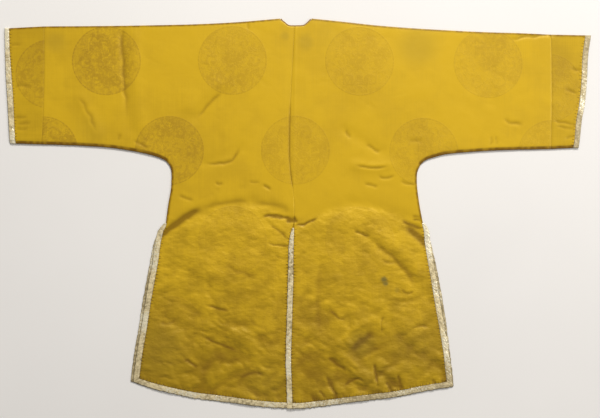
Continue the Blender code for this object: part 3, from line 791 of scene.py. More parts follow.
def from_line(points, line):
    """Distance of each point from a line, and how far along the line its nearest place is."""
    marks = divide(line, RIM_MARKS)
    tree = KDTree(len(marks))
    for number, mark in enumerate(marks):
        tree.insert((*mark, 0), number)
    tree.balance()
    found = [tree.find((*point, 0)) for point in points]
    along = lengths_along(marks)
    return np.array([hit[2] for hit in found]), along[[hit[1] for hit in found]]


def cloth_shift(layer, side):
    """How far a panel's cloth ends from its column, which holds the outer edge of the front's ribbon."""
    return 0.0 if layer == "back" else -AWAY[side] * (RIBBON_WIDTH + SEAM)


def vent_edge(layer, side, top, cells=VENT_CELLS):
    """A panel's cloth edge down its side vent, from the closed seam's end to the hem."""
    table = SKIRT_EDGES[f"{layer}_{side}"]
    shift = cloth_shift(layer, side)
    foot = crossing(table, hem_line(layer, RIBBON_WIDTH + SEAM), shift)
    y = np.linspace(top[1], foot[1], cells + 1)
    settled = ease((top[1] - y) / VENT_TOP_BLEND)
    return np.column_stack([settled * (table(y) + shift) + (1 - settled) * top[0], y])


def closed_edges(side):
    """The closed edges of one half, drawn in by the rim."""
    fold = smooth(FOLD[side])
    fold = fold - outward(fold, TURN[side]) * RIM
    under = smooth(UNDERARM[side])
    under = under + outward(under, TURN[side]) * RIM
    arm_under, side_seam = split(under, np.array(ARMPIT[side]) * MM)
    arm_fold, shoulder = split(fold, (side_seam[0][0], fold[0][1]))
    return {
        "arm_fold": divide(arm_fold, ARM_CELLS),
        "shoulder": divide(shoulder, SHOULDER_CELLS),
        "arm_under": divide(arm_under, ARM_CELLS),
        "side_seam": divide(side_seam, SIDE_CELLS),
    }


def seam_gap(line, side):
    """A line at the centre, moved half a seam to one side."""
    return line + np.array([AWAY[side] * CLOTH_SEAM / 2, 0])


def front_middle(side):
    """Where one half's front ends, at the centre opening."""
    return seam_gap(np.array([FRONT_CENTRE, 0]), side)[0]


def centre_edges(side, hem):
    """One half's centre line: from the neck to the armpit's level, to the vent's top, and down the vent."""
    centre = smooth(CENTRE)
    upper, lower = split(centre, (CENTRE[4][0] * MM, ARMPIT[side][1] * MM))
    vent = SKIRT_EDGES[CENTRE_EDGE[side]]
    foot = crossing(vent, hem)
    y = np.linspace(VENT_TOP, foot[1], VENT_CELLS + 1)
    vent_line = np.column_stack([vent(y), y])
    vent_line[0][0] = centre[-1][0]
    lines = (divide(upper, UPPER_CELLS), divide(lower, SIDE_CELLS), vent_line)
    return [seam_gap(line, side) for line in lines]


def back_neck(side, shoulder_end, middle):
    """The back's neck edge on one half, from the shoulder fold to the centre seam."""
    if side == "left":
        points = [point for point in BACK_NECK if point[0] < CENTRE[0][0]]
    else:
        points = [point for point in reversed(BACK_NECK) if point[0] > CENTRE[0][0]]
    route = [shoulder_end, *(np.array(point) * MM for point in points), middle]
    return divide(smooth(route, 1.0), NECK_CELLS)


@functools.cache
def back_grid(side):
    """Grid of one half's back: the sleeve, the body above the armpit, and the body and skirt below it."""
    edges = closed_edges(side)
    hem = hem_line("back", RIBBON_WIDTH + SEAM)
    upper_centre, lower_centre, vent = centre_edges(side, hem)
    neck = back_neck(side, edges["shoulder"][-1], upper_centre[0])
    seam = divide(smooth(BAND_SEAM[side]), UPPER_CELLS)
    seam += (edges["arm_fold"][0] - seam[0]) * np.linspace(1, 0, UPPER_CELLS + 1)[:, None]
    seam += (edges["arm_under"][0] - seam[-1]) * np.linspace(0, 1, UPPER_CELLS + 1)[:, None]
    armhole = divide(np.array([edges["arm_fold"][-1], edges["arm_under"][-1]]), UPPER_CELLS)
    across = SHOULDER_CELLS + NECK_CELLS
    grid = np.full((ARM_CELLS + across + 1, VENT_ROW + VENT_CELLS + 1, 2), np.nan)
    grid[: ARM_CELLS + 1, : UPPER_CELLS + 1] = patch(seam, armhole, edges["arm_fold"], edges["arm_under"])
    top = np.concatenate([edges["shoulder"], neck[1:]])
    level = divide(np.array([edges["arm_under"][-1], upper_centre[-1]]), across)
    grid[ARM_CELLS:, : UPPER_CELLS + 1] = patch(armhole, upper_centre, top, level)
    vent_side = vent_edge("back", side, edges["side_seam"][-1])
    down_side = np.concatenate([edges["side_seam"], vent_side[1:]])
    down_centre = np.concatenate([lower_centre, vent[1:]])
    xs = np.linspace(vent_side[-1][0], vent[-1][0], across + 1)
    hem_points = np.column_stack([xs, hem(xs)])
    grid[ARM_CELLS:, UPPER_CELLS:] = patch(down_side, down_centre, level, hem_points)
    return grid, edges


def front_neck(side, shoulder):
    """Quarter ellipse of the front's neck, from the shoulder fold to the centre opening."""
    middle = front_middle(side)
    angles = np.linspace(0, math.pi / 2, FRONT_NECK_CELLS + 1)
    xs = middle + (shoulder[0] - middle) * np.cos(angles)
    return np.column_stack([xs, shoulder[1] - FRONT_NECK_DROP * np.sin(angles)])


def under_keys():
    """Grid keys along the sleeve's underside, round the armpit and down the side seam."""
    keys = [(i, UPPER_CELLS) for i in range(ARM_CELLS + 1)]
    return keys + [(ARM_CELLS, j) for j in range(UPPER_CELLS + 1, VENT_ROW + 1)]


def front_outline(side, grid):
    """The flat front of one half: closed edges as grid keys, open edges as points."""
    outline = under_keys()
    down_side = vent_edge("front", side, grid[ARM_CELLS, VENT_ROW])
    outline += list(down_side[1:])
    hem = hem_line("front", RIBBON_WIDTH + SEAM)
    middle = front_middle(side)
    for x in np.linspace(down_side[-1][0], middle, FRONT_HEM_CELLS + 1)[1:]:
        outline.append(np.array([x, hem(x)]))
    outline += list(front_neck(side, grid[NECK_POINT, 0]))[:0:-1]
    outline += [(i, 0) for i in range(NECK_POINT, -1, -1)]
    outline += [grid[0, j] for j in range(1, UPPER_CELLS)]
    return outline


def add_mesh(name, bm, material):
    """Turn faces into an object with one material."""
    mesh = bpy.data.meshes.new(name)
    bm.to_mesh(mesh)
    bm.free()
    mesh.materials.append(material)
    piece = bpy.data.objects.new(name, mesh)
    bpy.context.scene.collection.objects.link(piece)
    return piece


def finish_piece(name, bm, thickness, material, nodes):
    """Turn an open surface into a piece of the robe, thickened inwards, in place of its solid."""
    bmesh.ops.recalc_face_normals(bm, faces=bm.faces)
    highest = max(bm.faces, key=lambda face: face.calc_center_median().z)
    if highest.normal.z < 0:
        bmesh.ops.reverse_faces(bm, faces=bm.faces)
    piece = add_mesh(name, bm, material)
    piece.data.set_sharp_from_angle(angle=SHARP_EDGE)
    wall = piece.modifiers.new("Wall", "SOLIDIFY")
    wall.thickness = thickness
    wall.offset = -1
    wall.use_even_offset = False
    shading = piece.modifiers.new("Shading", "WEIGHTED_NORMAL")
    shading.keep_sharp = True
    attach(piece, "root")
    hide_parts(*nodes)
    return piece


def add_values(bm, values):
    """Give a mesh's vertices named numbers that the materials read."""
    for name, numbers in values.items():
        layer = bm.verts.layers.float.new(name)
        for vert, number in zip(bm.verts, numbers):
            vert[layer] = number


def lay_round(grid, heights, folded, front, values):
    """A surface that goes round from the back to the flat front.

    grid holds the back's points, and heights their upper faces. folded lists the closed edges, each with its
    keys and outward vectors. front is the flat face's outline: a key where it meets a closed edge, else a
    point. values maps the names of vertex numbers to arrays like heights.
    """
    bm = bmesh.new()
    present = present_in(grid)
    upper = {}
    for key in zip(*np.nonzero(present)):
        upper[key] = bm.verts.new((*grid[key], heights[key]))
    order = list(upper)
    numbers = {name: [float(array[key]) for key in order] for name, array in values.items()}
    whole = present[:-1, :-1] & present[1:, :-1] & present[1:, 1:] & present[:-1, 1:]
    for i, j in zip(*np.nonzero(whole)):
        bm.faces.new([upper[i, j], upper[i + 1, j], upper[i + 1, j + 1], upper[i, j + 1]])
    lower = {}
    for keys, away in folded:
        rings = []
        for key, reach in zip(keys, away):
            x, y = grid[key]
            ring = [upper[key]]
            for turn in np.linspace(0, math.pi, RIM_STEPS + 1)[1:]:
                out = RIM * math.sin(turn)
                z = heights[key] * (1 + math.cos(turn)) / 2
                ring.append(bm.verts.new((x + reach[0] * out, y + reach[1] * out, z)))
                for name, array in values.items():
                    numbers[name].append(float(array[key]))
            lower[key] = ring[-1]
            rings.append(ring)
        for here, there in zip(rings, rings[1:]):
            for step in range(RIM_STEPS):
                bm.faces.new([here[step], there[step], there[step + 1], here[step + 1]])
    for face in bm.faces:
        face.smooth = True
    outline = []
    for item in front:
        if isinstance(item, tuple):
            outline.append(lower[item])
        else:
            outline.append(bm.verts.new((*item, 0)))
            for name in values:
                numbers[name].append(0.0)
    around = [(number, (number + 1) % len(outline)) for number in range(len(outline))]
    flat = delaunay_2d_cdt([vert.co.xy for vert in outline], around, [], INSIDE_ONLY, WELD)
    for corners in flat[2]:
        bm.faces.new([outline[flat[3][corner][0]] for corner in corners])
    add_values(bm, numbers)
    return bm


def on_grid(grid, side, sizes):
    """Heights and crease depths of a grid's points, as arrays like the grid."""
    present = present_in(grid)
    heights, depths, loose = np.full((3, *present.shape), np.nan)
    heights[present], depths[present] = back_height(grid[present], side, sizes)
    loose[present] = slack(grid[present])
    return heights, {"crease": depths, "slack": loose}


def make_half(side, sizes, material):
    """Back, front and sleeve of one side in one cloth."""
    grid, edges = back_grid(side)
    heights, values = on_grid(grid, side, sizes)
    fold = np.concatenate([edges["arm_fold"], edges["shoulder"][1:]])
    under = np.concatenate([edges["arm_under"], edges["side_seam"][1:]])
    present = present_in(grid)
    shade = np.zeros(present.sum())
    for kind, line in (("fold", fold), ("sleeve", edges["arm_under"]), ("side", edges["side_seam"])):
        height, dark = rolled(*from_line(grid[present], line), kind, sizes)
        heights[present] = np.maximum(heights[present] + height, LOWEST_BACK)
        shade = np.maximum(shade, dark)
    values["edge"] = np.full(present.shape, np.nan)
    values["edge"][present] = shade
    folded = [
        ([(i, 0) for i in range(NECK_POINT + 1)], outward(fold, TURN[side])),
        (under_keys(), outward(under, -TURN[side])),
    ]
    bm = lay_round(grid, heights, folded, front_outline(side, grid), values)
    return finish_piece(f"{side}_half_silk", bm, sizes.shell, material, [f"{side}_half"])


def sleeve_line(points, side, shift, cells):
    """A line across the sleeve from fold to underside, drawn in by the rim and moved along the sleeve."""
    drawn_in = np.linspace(-RIM, RIM, cells + 1)
    return divide(smooth(points), cells) + np.column_stack([np.full(cells + 1, AWAY[side] * shift), drawn_in])


def make_tube(name, side, inner, outer, cells, proud, relief, thickness, material, slot, node, sizes):
    """A flat-laid tube across the sleeve, between two lines that run from the fold to the underside."""
    rows = len(inner) - 1
    north = divide(np.array([inner[0], outer[0]]), cells)
    south = divide(np.array([inner[-1], outer[-1]]), cells)
    grid = patch(inner, outer, north, south)
    heights, values = on_grid(grid, side, sizes)
    across = np.repeat(np.linspace(0, 1, cells + 1)[:, None], rows + 1, axis=1)
    along = np.repeat(lengths_along(inner)[None], cells + 1, axis=0)
    top, top_shade = rolled(along, grid[..., 0], "fold", sizes)
    under, under_shade = rolled(along[0, -1] - along, grid[..., 0], "sleeve", sizes)
    heights = np.maximum(heights + top + under, LOWEST_BACK) + proud + relief(along, across)
    values.update(along=along, across=across, edge=np.maximum(top_shade, under_shade))
    folded = [
        ([(i, 0) for i in range(cells + 1)], [(0, 1)] * (cells + 1)),
        ([(i, rows) for i in range(cells + 1)], [(0, -1)] * (cells + 1)),
    ]
    front = [(i, rows) for i in range(cells + 1)]
    front += [outer[j] for j in range(rows - 1, 0, -1)]
    front += [(i, 0) for i in range(cells, -1, -1)]
    front += [inner[j] for j in range(1, rows)]
    bm = lay_round(grid, heights, folded, front, values)
    return finish_piece(name, bm, thickness, material, [node])


def plain(along, across):
    """No relief."""
    return np.zeros_like(along)


def woven_relief(sizes):
    """Heights of a ribbon's lozenges, its beaded edges and its unevenness, along and across it."""

    def relief(along, across):
        step = np.abs((along / sizes.lozenge) % 1 - 0.5)
        lozenge = np.clip(1 - 2.4 * (step + np.abs(across - 0.5)), 0, 1)
        edge = np.exp(-((across / EDGE_SHARE) ** 2)) + np.exp(-(((1 - across) / EDGE_SHARE) ** 2))
        uneven = np.sin(along / RIBBON_WAVES[0]) + 0.6 * np.sin(along / RIBBON_WAVES[1] + 2)
        rough = KNOT_HEIGHT * (strip_noise(along, across * RIBBON_WIDTH, KNOT_CELL, "knots") - 0.5)
        return LOZENGE_HEIGHT * lozenge - EDGE_DEPTH * edge + WAVE_HEIGHT * uneven + rough

    return relief


def make_band(name, inner, outer, tops, droop, thickness, relief, material, slot, node):
    """A narrow band between two lines, with its upper face at the given heights along its inner edge."""
    bm = bmesh.new()
    shares = np.linspace(0, 1, RIBBON_ACROSS + 1)
    along = lengths_along(inner)
    loops = lattice_noise(outer, LOOP_CELL, chance_for("loops"))[:, None]
    outer = outer + (outer - inner) * LOOPED * (loops - 0.5)
    rows = []
    numbers = {"along": [], "across": []}
    for share in shares:
        line = inner * (1 - share) + outer * share
        heights = tops - droop * share * share + relief(along, np.full(len(along), share))
        rows.append([bm.verts.new((*point, height)) for point, height in zip(line, heights)])
        numbers["along"] += list(along)
        numbers["across"] += [share] * len(along)
    for near, far in zip(rows, rows[1:]):
        for a, b, c, d in zip(near, near[1:], far[1:], far):
            bm.faces.new([a, b, c, d]).smooth = True
    add_values(bm, numbers)
    return finish_piece(name, bm, thickness, material, [node])


def side_lines(layer, side, top):
    """Inner and outer edge of the ribbon down a side vent, mitred at the hem's corner."""
    away = AWAY[side]
    table = SKIRT_EDGES[f"{layer}_{side}"]
    shift = cloth_shift(layer, side)
    inner_corner = crossing(table, hem_line(layer, RIBBON_WIDTH), shift + away * SEAM)
    outer_corner = crossing(table, hem_line(layer, 0), shift + away * (SEAM + RIBBON_WIDTH))
    inner = vent_edge(layer, side, top, SIDE_RIBBON_CELLS)
    inner[0] += (inner[1] - inner[0]) * VENT_TOP_GAP / (inner[0][1] - inner[1][1])
    inner[:, 0] += away * SEAM
    inner[-1] = inner_corner + MITRE
    start = inner[0][1]
    y = start + (inner[:, 1] - start) / (inner[-1][1] - start) * (outer_corner[1] - start)
    grown = ease(RIBBON_START + (start - inner[:, 1]) / RIBBON_GROWS)
    outer = np.column_stack([table(y) + shift + away * (SEAM + RIBBON_WIDTH * grown), y])
    outer[-1] = outer_corner + MITRE
    return inner, outer, (inner_corner, outer_corner)


def hem_lines(layer, side, corners):
    """Inner and outer edge of the ribbon below a panel's hem, from the mitred corner to the centre."""
    lines = []
    for corner, hem in zip(corners, (hem_line(layer, RIBBON_WIDTH), hem_line(layer, 0))):
        if layer == "back":
            middle = crossing(SKIRT_EDGES[CENTRE_EDGE[side]], hem)[0]
        else:
            middle = front_middle(side)
        xs = np.linspace(corner[0], middle, HEM_RIBBON_CELLS + 1)
        lines.append(np.column_stack([xs, hem(xs)]))
    return lines


def vent_lines(side):
    """Inner and outer edge of the ribbon down one side of the centre vent."""
    away = AWAY[side]
    other = {"left": "vent", "right": "lap"}[side]
    lines = []
    for name, shift in ((CENTRE_EDGE[side], -away * SEAM), (other, away * SEAM)):
        edge = SKIRT_EDGES[name]
        foot = crossing(edge, hem_line("back", 0))
        y = np.linspace(VENT_RIBBON_TOP, foot[1], SIDE_RIBBON_CELLS + 1)
        lines.append(np.column_stack([edge(y) + shift, y]))
    return lines


def back_tops(line, side, sizes):
    """Upper face of a ribbon on the back, along its inner edge, smoothed as it is stiffer than the silk."""
    tops = np.pad(back_height(line, side, sizes)[0], RIBBON_STIFF, mode="edge")
    whole = 2 * RIBBON_STIFF + 1
    return np.convolve(tops, np.full(whole, 1 / whole), "valid") + RIBBON_PROUD


def clear_of_rim(line, end, neighbour):
    """Draw one end of a binding's line back along the neck, past the shoulder fold's rim."""
    run = line[neighbour] - line[end]
    line[end] += run / np.linalg.norm(run) * BINDING_START


class Value:
    """A number inside a material. Its operators add Math nodes."""

    def __init__(self, paint, socket):
        self.paint = paint
        self.socket = socket

    def maths(self, operation, *others):
        """The result of a Math node whose first number is this one."""
        inputs = dict(enumerate([self, *others]))
        return self.paint.node("ShaderNodeMath", {"operation": operation}, inputs)

    def reflected(self, operation, other):
        """The result of a Math node whose second number is this one."""
        return self.paint.node("ShaderNodeMath", {"operation": operation}, {0: other, 1: self})

    __add__ = __radd__ = functools.partialmethod(maths, "ADD")
    __sub__ = functools.partialmethod(maths, "SUBTRACT")
    __rsub__ = functools.partialmethod(reflected, "SUBTRACT")
    __mul__ = __rmul__ = functools.partialmethod(maths, "MULTIPLY")
    __truediv__ = functools.partialmethod(maths, "DIVIDE")
    __rtruediv__ = functools.partialmethod(reflected, "DIVIDE")
    __abs__ = functools.partialmethod(maths, "ABSOLUTE")
    __lt__ = functools.partialmethod(maths, "LESS_THAN")


class Paint:
    """One material and the nodes that feed its Principled shader."""

    def __init__(self, name):
        self.material = bpy.data.materials.new(name)
        self.material.use_nodes = True
        self.tree = self.material.node_tree
        self.shader = self.tree.nodes["Principled BSDF"]
        self.spot = self.node("ShaderNodeTexCoord", output="Object")

    def feed(self, socket, value):
        """Set a socket to a value, or link it."""
        if isinstance(value, Value):
            self.tree.links.new(value.socket, socket)
        elif socket.type == "RGBA":
            socket.default_value = (*value[:3], 1.0)
        else:
            socket.default_value = value

    def node(self, kind, settings=None, inputs=None, output=0):
        """Add a node of a kind, with its settings and then the values or links of its sockets."""
        new = self.tree.nodes.new(kind)
        for name, value in (settings or {}).items():
            setattr(new, name, value)
        for name, value in (inputs or {}).items():
            self.feed(new.inputs[name], value)
        return Value(self, new.outputs[output])

    def finish(self, links, constants):
        """Feed the shader's changing sockets and set its constant ones."""
        for name, value in {**constants, **links}.items():
            self.feed(self.shader.inputs[name], value)
        return self.material

    def axis(self, name):
        """One coordinate of the place on the object."""
        return self.node("ShaderNodeSeparateXYZ", inputs={0: self.spot}, output=name)

    def noise(self, scale=1.0, detail=2.0, rough=0.5, stretch=None):
        """Smooth noise from 0 to 1 over the object, finer along one axis where it is stretched."""
        spot = self.spot
        if stretch:
            inputs = {0: spot, 1: (*stretch, 1.0)}
            spot = self.node("ShaderNodeVectorMath", {"operation": "MULTIPLY"}, inputs)
        inputs = {"Vector": spot, "Scale": scale, "Detail": detail, "Roughness": rough}
        return self.node("ShaderNodeTexNoise", inputs=inputs)

    def step(self, value, low, high):
        """0 below low, 1 above high, and smooth between."""
        inputs = {"Value": value, "From Min": low, "From Max": high}
        return self.node("ShaderNodeMapRange", {"interpolation_type": "SMOOTHSTEP"}, inputs)

    def fade(self, value, low, high):
        """1 below low, 0 above high, and smooth between."""
        return 1 - self.step(value, low, high)

    def line(self, value, middle, half, soft):
        """1 on a line where the value is near its middle, and 0 off it."""
        return self.fade(abs(value - middle), half, half + soft)

    def mix(self, share, first, second):
        """A colour between two."""
        return self.node("ShaderNodeMix", {"data_type": "RGBA"}, {0: share, 6: first, 7: second}, output=2)

    def attribute(self, name):
        """A number that the mesh's vertices hold."""
        return self.node("ShaderNodeAttribute", {"attribute_name": name}, output="Fac")

    def bump(self, height, distance, strength=1.0, normal=None):
        """A normal tilted by a height in metres."""
        inputs = {"Height": height, "Distance": distance, "Strength": strength}
        if normal is not None:
            inputs["Normal"] = normal
        return self.node("ShaderNodeBump", inputs=inputs)


def most(first, second):
    """The larger of two values of a material."""
    return first.maths("MAXIMUM", second)


def length_of(x, y):
    """How long a step along x and y is, inside a material."""
    return (x * x + y * y).maths("SQRT")


def roundel_figure(paint, x, y, across_repeat, sizes):
    """The half-drop repeat of one flower medallion: its disc, its woven figure and its shining ground."""
    across = x / across_repeat
    down = y / sizes.repeat_down
    cells = []
    for shift in (0.0, 0.5):
        cell_x = ((across + (shift + 0.5)).maths("FRACT") - 0.5) * across_repeat
        cell_y = ((down + (shift + 0.5)).maths("FRACT") - 0.5) * sizes.repeat_down
        cells.append((cell_x, cell_y, length_of(cell_x, cell_y)))
    first = cells[0][2] < cells[1][2]
    waver = (paint.noise(60.0) - 0.5) * (22 * MM)
    sway = (paint.noise(52.0) - 0.5) * (22 * MM)
    local_x = cells[1][0] + (cells[0][0] - cells[1][0]) * first + waver
    local_y = cells[1][1] + (cells[0][1] - cells[1][1]) * first + sway
    true_radius = cells[0][2].maths("MINIMUM", cells[1][2]) / sizes.roundel
    radius = length_of(local_x, local_y) / sizes.roundel
    angle = local_y.maths("ARCTAN2", local_x)
    disc = paint.fade(true_radius, 0.97, 1.0)
    dots = paint.step((angle * 54.0).maths("COSINE"), -0.7, 0.4)
    ring = paint.line(true_radius, 0.972, 0.012, 0.016) * (0.4 + dots * 0.6)
    petal_edge = 0.27 + (angle * 6.0).maths("COSINE") * 0.05
    veins = paint.step(abs((angle * 3.0).maths("SINE")), 0.12, 0.3)
    petals = paint.step(petal_edge - radius, 0.0, 0.03) * veins
    heart = paint.fade(radius, 0.07, 0.09)
    hollow = paint.line(radius, 0.11, 0.008, 0.012)
    flower = most(petals * (1 - hollow), heart)
    sector = (angle * (1 / SECTOR) + 0.5).maths("FRACT") - 0.5
    scroll_x = sector * radius * SECTOR
    scroll_y = radius - 0.58
    curl = length_of(scroll_x, scroll_y)
    coil = (scroll_y.maths("ARCTAN2", scroll_x) + curl * 34.0).maths("SINE")
    scroll = paint.step(coil, -0.15, 0.25) * paint.fade(curl, 0.2, 0.23)
    between = paint.line(abs(sector), 0.5, 0.13, 0.05) * paint.line(radius, 0.6, 0.16, 0.05)
    leaf_beat = (radius * 70.0 + abs(sector) * 40.0).maths("SINE")
    leaves = between * paint.step(leaf_beat, -0.2, 0.2)
    figure = most(most(flower, scroll), leaves)
    curls = paint.noise(105.0, 5.0, 0.8, (1.0, 0.8))
    cloudy = paint.noise(17.0)
    speckle = paint.step(curls + figure * 0.10 + (cloudy - 0.5) * 0.4, 0.42, 0.68)
    shine = paint.fade(curls + figure * 0.08, 0.34, 0.48) * disc
    return disc, most(speckle, ring) * disc, shine


def satin_paint(name, weave, sizes, colours):
    """Creased silk satin with a tonal damask, random duller tone and painted shade."""
    paint = Paint(name)
    row_x = paint.axis("X")
    row_y = paint.axis("Y")
    start_x, start_y = place(weave.x, weave.y).tolist()
    x = row_x - start_x
    y = row_y - start_y + x * weave.lean
    disc, woven, shine = roundel_figure(paint, x, y, weave.repeat * PIXEL, sizes)
    loose = paint.attribute("slack")
    crease = paint.attribute("crease")
    edge = paint.attribute("edge")
    broad = paint.noise(3.2, 3.0)
    cloudy = paint.noise(14.0, 3.0)
    bars = paint.noise(stretch=(5.0, 260.0))
    warp = paint.noise(stretch=(330.0, 7.0))
    down = paint.step(0.08 - row_y, 0.0, 0.62)
    leftward = paint.step(0.1 - row_x, 0.0, 0.8)
    patchy = paint.noise(detail=3.0, stretch=(30.0, 36.0))
    # painted shade: the ground darkens towards the bottom, the left and in the slack skirt; the noises and
    # each piece's duller silk add random tone
    age = loose * (0.01 + leftward * 0.19) + down * 0.76 + leftward * 0.10 + (broad - 0.5) * 0.6
    age = age + (cloudy - 0.5) * (0.4 + loose * 0.6) + (patchy - 0.5) * (0.2 + loose * 0.7)
    age = age + (bars + warp - 1.0) * 0.18 + weave.age
    ground = paint.mix(paint.step(age, -0.1, 1.0), colours.satin, colours.worn_and_shaded)
    shown = disc * (0.19 + leftward * 0.07) + woven * (0.34 + leftward * 0.18)
    shown = shown - shine * (0.2 + leftward * 0.14)
    shown = shown * (0.62 + leftward * 0.30 + (broad - 0.5) * 1.1) * (1.0 - loose * 0.45)
    dull = paint.step(broad + (cloudy - 0.5) * 0.7 + (warp - 0.5) * 0.3, 0.42, 0.66) * 0.12
    tinted = paint.mix(shown.maths("MAXIMUM", 0.0) + dull, ground, colours.figure)
    # painted shade: darker deep in the creases and where the cloth rolls over its closed edges
    dark = most(crease * 0.75, edge * 0.95)
    shaded = paint.mix(dark, tinted, colours.crease)
    spots = stain_mask(paint)
    colour = paint.mix(spots, shaded, colours.stain)
    rough = 0.38 + disc * 0.03 + loose * 0.10 + (cloudy - 0.5) * 0.10
    fine = paint.noise(stretch=(420.0, 900.0))
    crinkle = paint.noise(1.0, 2.5, 0.55, (40.0, 58.0))
    cloth = paint.bump(fine + woven * 1.2, 0.2 * MM, 0.7)
    normal = paint.bump(crinkle * (0.08 + loose * 0.92), 4.0 * MM, 0.6, cloth)
    links = {"Base Color": colour, "Roughness": rough, "Normal": normal}
    constants = {"Specular IOR Level": 0.8, "Specular Tint": (1.0, 0.78, 0.28)}
    constants.update({"Sheen Weight": 0.06, "Sheen Roughness": 0.4, "Sheen Tint": (1.0, 0.8, 0.3)})
    return paint.finish(links, constants)


# Grey spots on the skirt and soft darker places elsewhere: their middle in the photograph's pixels, radius in
# millimetres and strength
Stain = namedtuple("Stain", "x y radius strength")
STAINS = [
    Stain(384, 279.5, 10, 0.75), Stain(385.5, 283.5, 9, 0.65), Stain(397, 290, 9, 0.22),
    Stain(306, 42, 26, 0.16), Stain(285, 36, 14, 0.16), Stain(418, 46, 62, 0.17), Stain(56, 42, 34, 0.12),
    Stain(330, 32, 60, 0.07), Stain(158, 350, 95, 0.12), Stain(268, 388, 80, 0.10),
    Stain(415, 345, 90, 0.08), Stain(361, 344, 42, 0.20), Stain(376, 382, 70, 0.06),
    Stain(328, 388, 60, 0.06), Stain(92, 130, 48, 0.09),
]


def stain_mask(paint):
    """Where the grey spots are, with uneven edges."""
    ragged = (paint.noise(160.0) - 0.5) * (6 * MM)
    mask = None
    for stain in STAINS:
        x, y = place(stain.x, stain.y).tolist()
        reach = length_of(paint.axis("X") - x, paint.axis("Y") - y) + ragged
        one = paint.fade(reach, 0.3 * stain.radius * MM, 1.3 * stain.radius * MM) * stain.strength
        mask = one if mask is None else most(mask, one)
    return mask


def ribbon_paint(name, dulled, sizes, colours):
    """Ribbon of gilt and dulled silver thread, with lozenges and painted glints, duller in some stretches."""
    paint = Paint(name)
    along = paint.attribute("along") / sizes.lozenge
    across = paint.attribute("across")
    step = abs(along.maths("FRACT") - 0.5)
    off = abs(across - 0.5)
    lozenge = paint.fade(step + off, 0.30, 0.36)
    heart = paint.fade(step + off, 0.10, 0.15)
    patches = paint.noise(105.0, 3.0, 0.6)
    flecks = paint.noise(190.0, 2.0, 0.6)
    broad = paint.noise(8.0)
    row_x = paint.axis("X")
    row_y = paint.axis("Y")
    duller_stretch = paint.step(row_x, 0.0, 0.06) * paint.fade(row_y, -0.44, -0.30) + paint.step(row_x, 0.6, 0.7)
    lively = paint.fade(abs(row_x + 0.02), 0.02, 0.06) * paint.step(row_y, -0.35, -0.05)
    contrast = 3.4 - duller_stretch * 1.6 + lively * 3.4
    gilt = lozenge * (1 - heart) * 0.15 + (patches - 0.5) * contrast + (broad - 0.5) * 1.4
    gilt = gilt + (0.35 - dulled) - duller_stretch * 0.45
    thread = paint.mix(paint.step(gilt, -0.9, 0.9), colours.silver, colours.gold)
    # painted highlight: glints of light painted into the thread's colour, fewer in the duller stretches
    sparks = flecks + (broad - 0.5) * (1.7 - lively * 1.5) - dulled * 0.1 - duller_stretch * 0.1
    glints = paint.step(sparks, 0.53, 0.61)
    sparkling = paint.mix(glints * 0.9, thread, colours.glint)
    # dark selvedge lines at both edges, partly painted shadow where one ribbon's edge lies over another
    selvedge_and_shadow = paint.step(off + (flecks - 0.5) * 0.2, 0.41, 0.50)
    # painted shadow: a front ribbon is darker on its inner side, under and beside the back's ribbon
    if dulled:
        selvedge_and_shadow = most(selvedge_and_shadow, paint.fade(across, 0.50, 0.74))
    colour = paint.mix(selvedge_and_shadow * 0.75, sparkling, colours.selvedge_and_shadow)
    rough = 0.42 - glints * 0.14 + (patches - 0.5) * 0.16
    relief = lozenge * 0.3 + patches * 3.0 + flecks * 1.5
    normal = paint.bump(relief, 0.6 * MM, 0.8)
    metal = 0.18 + glints * 0.2
    links = {"Base Color": colour, "Roughness": rough, "Metallic": metal, "Normal": normal}
    return paint.finish(links, {"Specular IOR Level": 0.6})


def binding_paint(name, colours):
    """Narrow bias binding of plain satin, darker in random patches at the neck."""
    paint = Paint(name)
    patches = paint.noise(90.0, 3.0)
    ribs = paint.noise(stretch=(700.0, 300.0))
    colour = paint.mix(patches * 0.6, colours.binding, colours.crease)
    normal = paint.bump(ribs, 0.15 * MM, 0.6)
    links = {"Base Color": colour, "Roughness": 0.42 + patches * 0.15, "Normal": normal}
    return paint.finish(links, {"Specular IOR Level": 0.5, "Specular Tint": (1.0, 0.78, 0.3)})


def thread_paint(name, colours):
    """Twisted sewing thread."""
    paint = Paint(name)
    ply = paint.noise(900.0, 1.0)
    colour = paint.mix(ply, colours.thread, colours.crease)
    normal = paint.bump(ply, 0.1 * MM, 0.6)
    return paint.finish({"Base Color": colour, "Roughness": 0.5 + ply * 0.2, "Normal": normal}, {})


def floor_paint(name, colours):
    """Pale matt floor."""
    paint = Paint(name)
    cloudy = paint.noise(1.4, 3.0)
    grain = paint.noise(340.0)
    darker = tuple(0.93 * part for part in colours.floor)
    colour = paint.mix(paint.step(cloudy, 0.3, 0.7) * 0.5, colours.floor, darker)
    normal = paint.bump(grain, 0.1 * MM, 0.2)
    return paint.finish({"Base Color": colour, "Roughness": 0.8 + grain * 0.1, "Normal": normal}, {})


# A roundel's flower and scrolls turn round it in equal sectors
SECTOR = 2 * math.pi / 6

# How the damask lies on each piece: a roundel's middle and the repeat across in the photograph's pixels, how
# much the rows sink to the right, and how much duller the silk is
Weave = namedtuple("Weave", "x y repeat lean age")
WEAVES = {
    "left_half": Weave(295.5, 150, 126, -0.003, 0.0),
    "right_half": Weave(295.5, 150, 128.5, 0.017, 0.0),
    "left_band": Weave(50, 74, 126, 0.0, 0.24),
    "right_band": Weave(548, 88, 127, 0.0, 0.32),
}


def material(name, make, *values):
    """A material by name, made once."""
    return bpy.data.materials.get(name) or make(name, *values)


def satin(part):
    """The satin of one half or of one cuff band."""
    scene = bpy.context.scene
    return material(f"satin_{part}", satin_paint, WEAVES[part], scene.robe_sizes, scene.robe_colours)


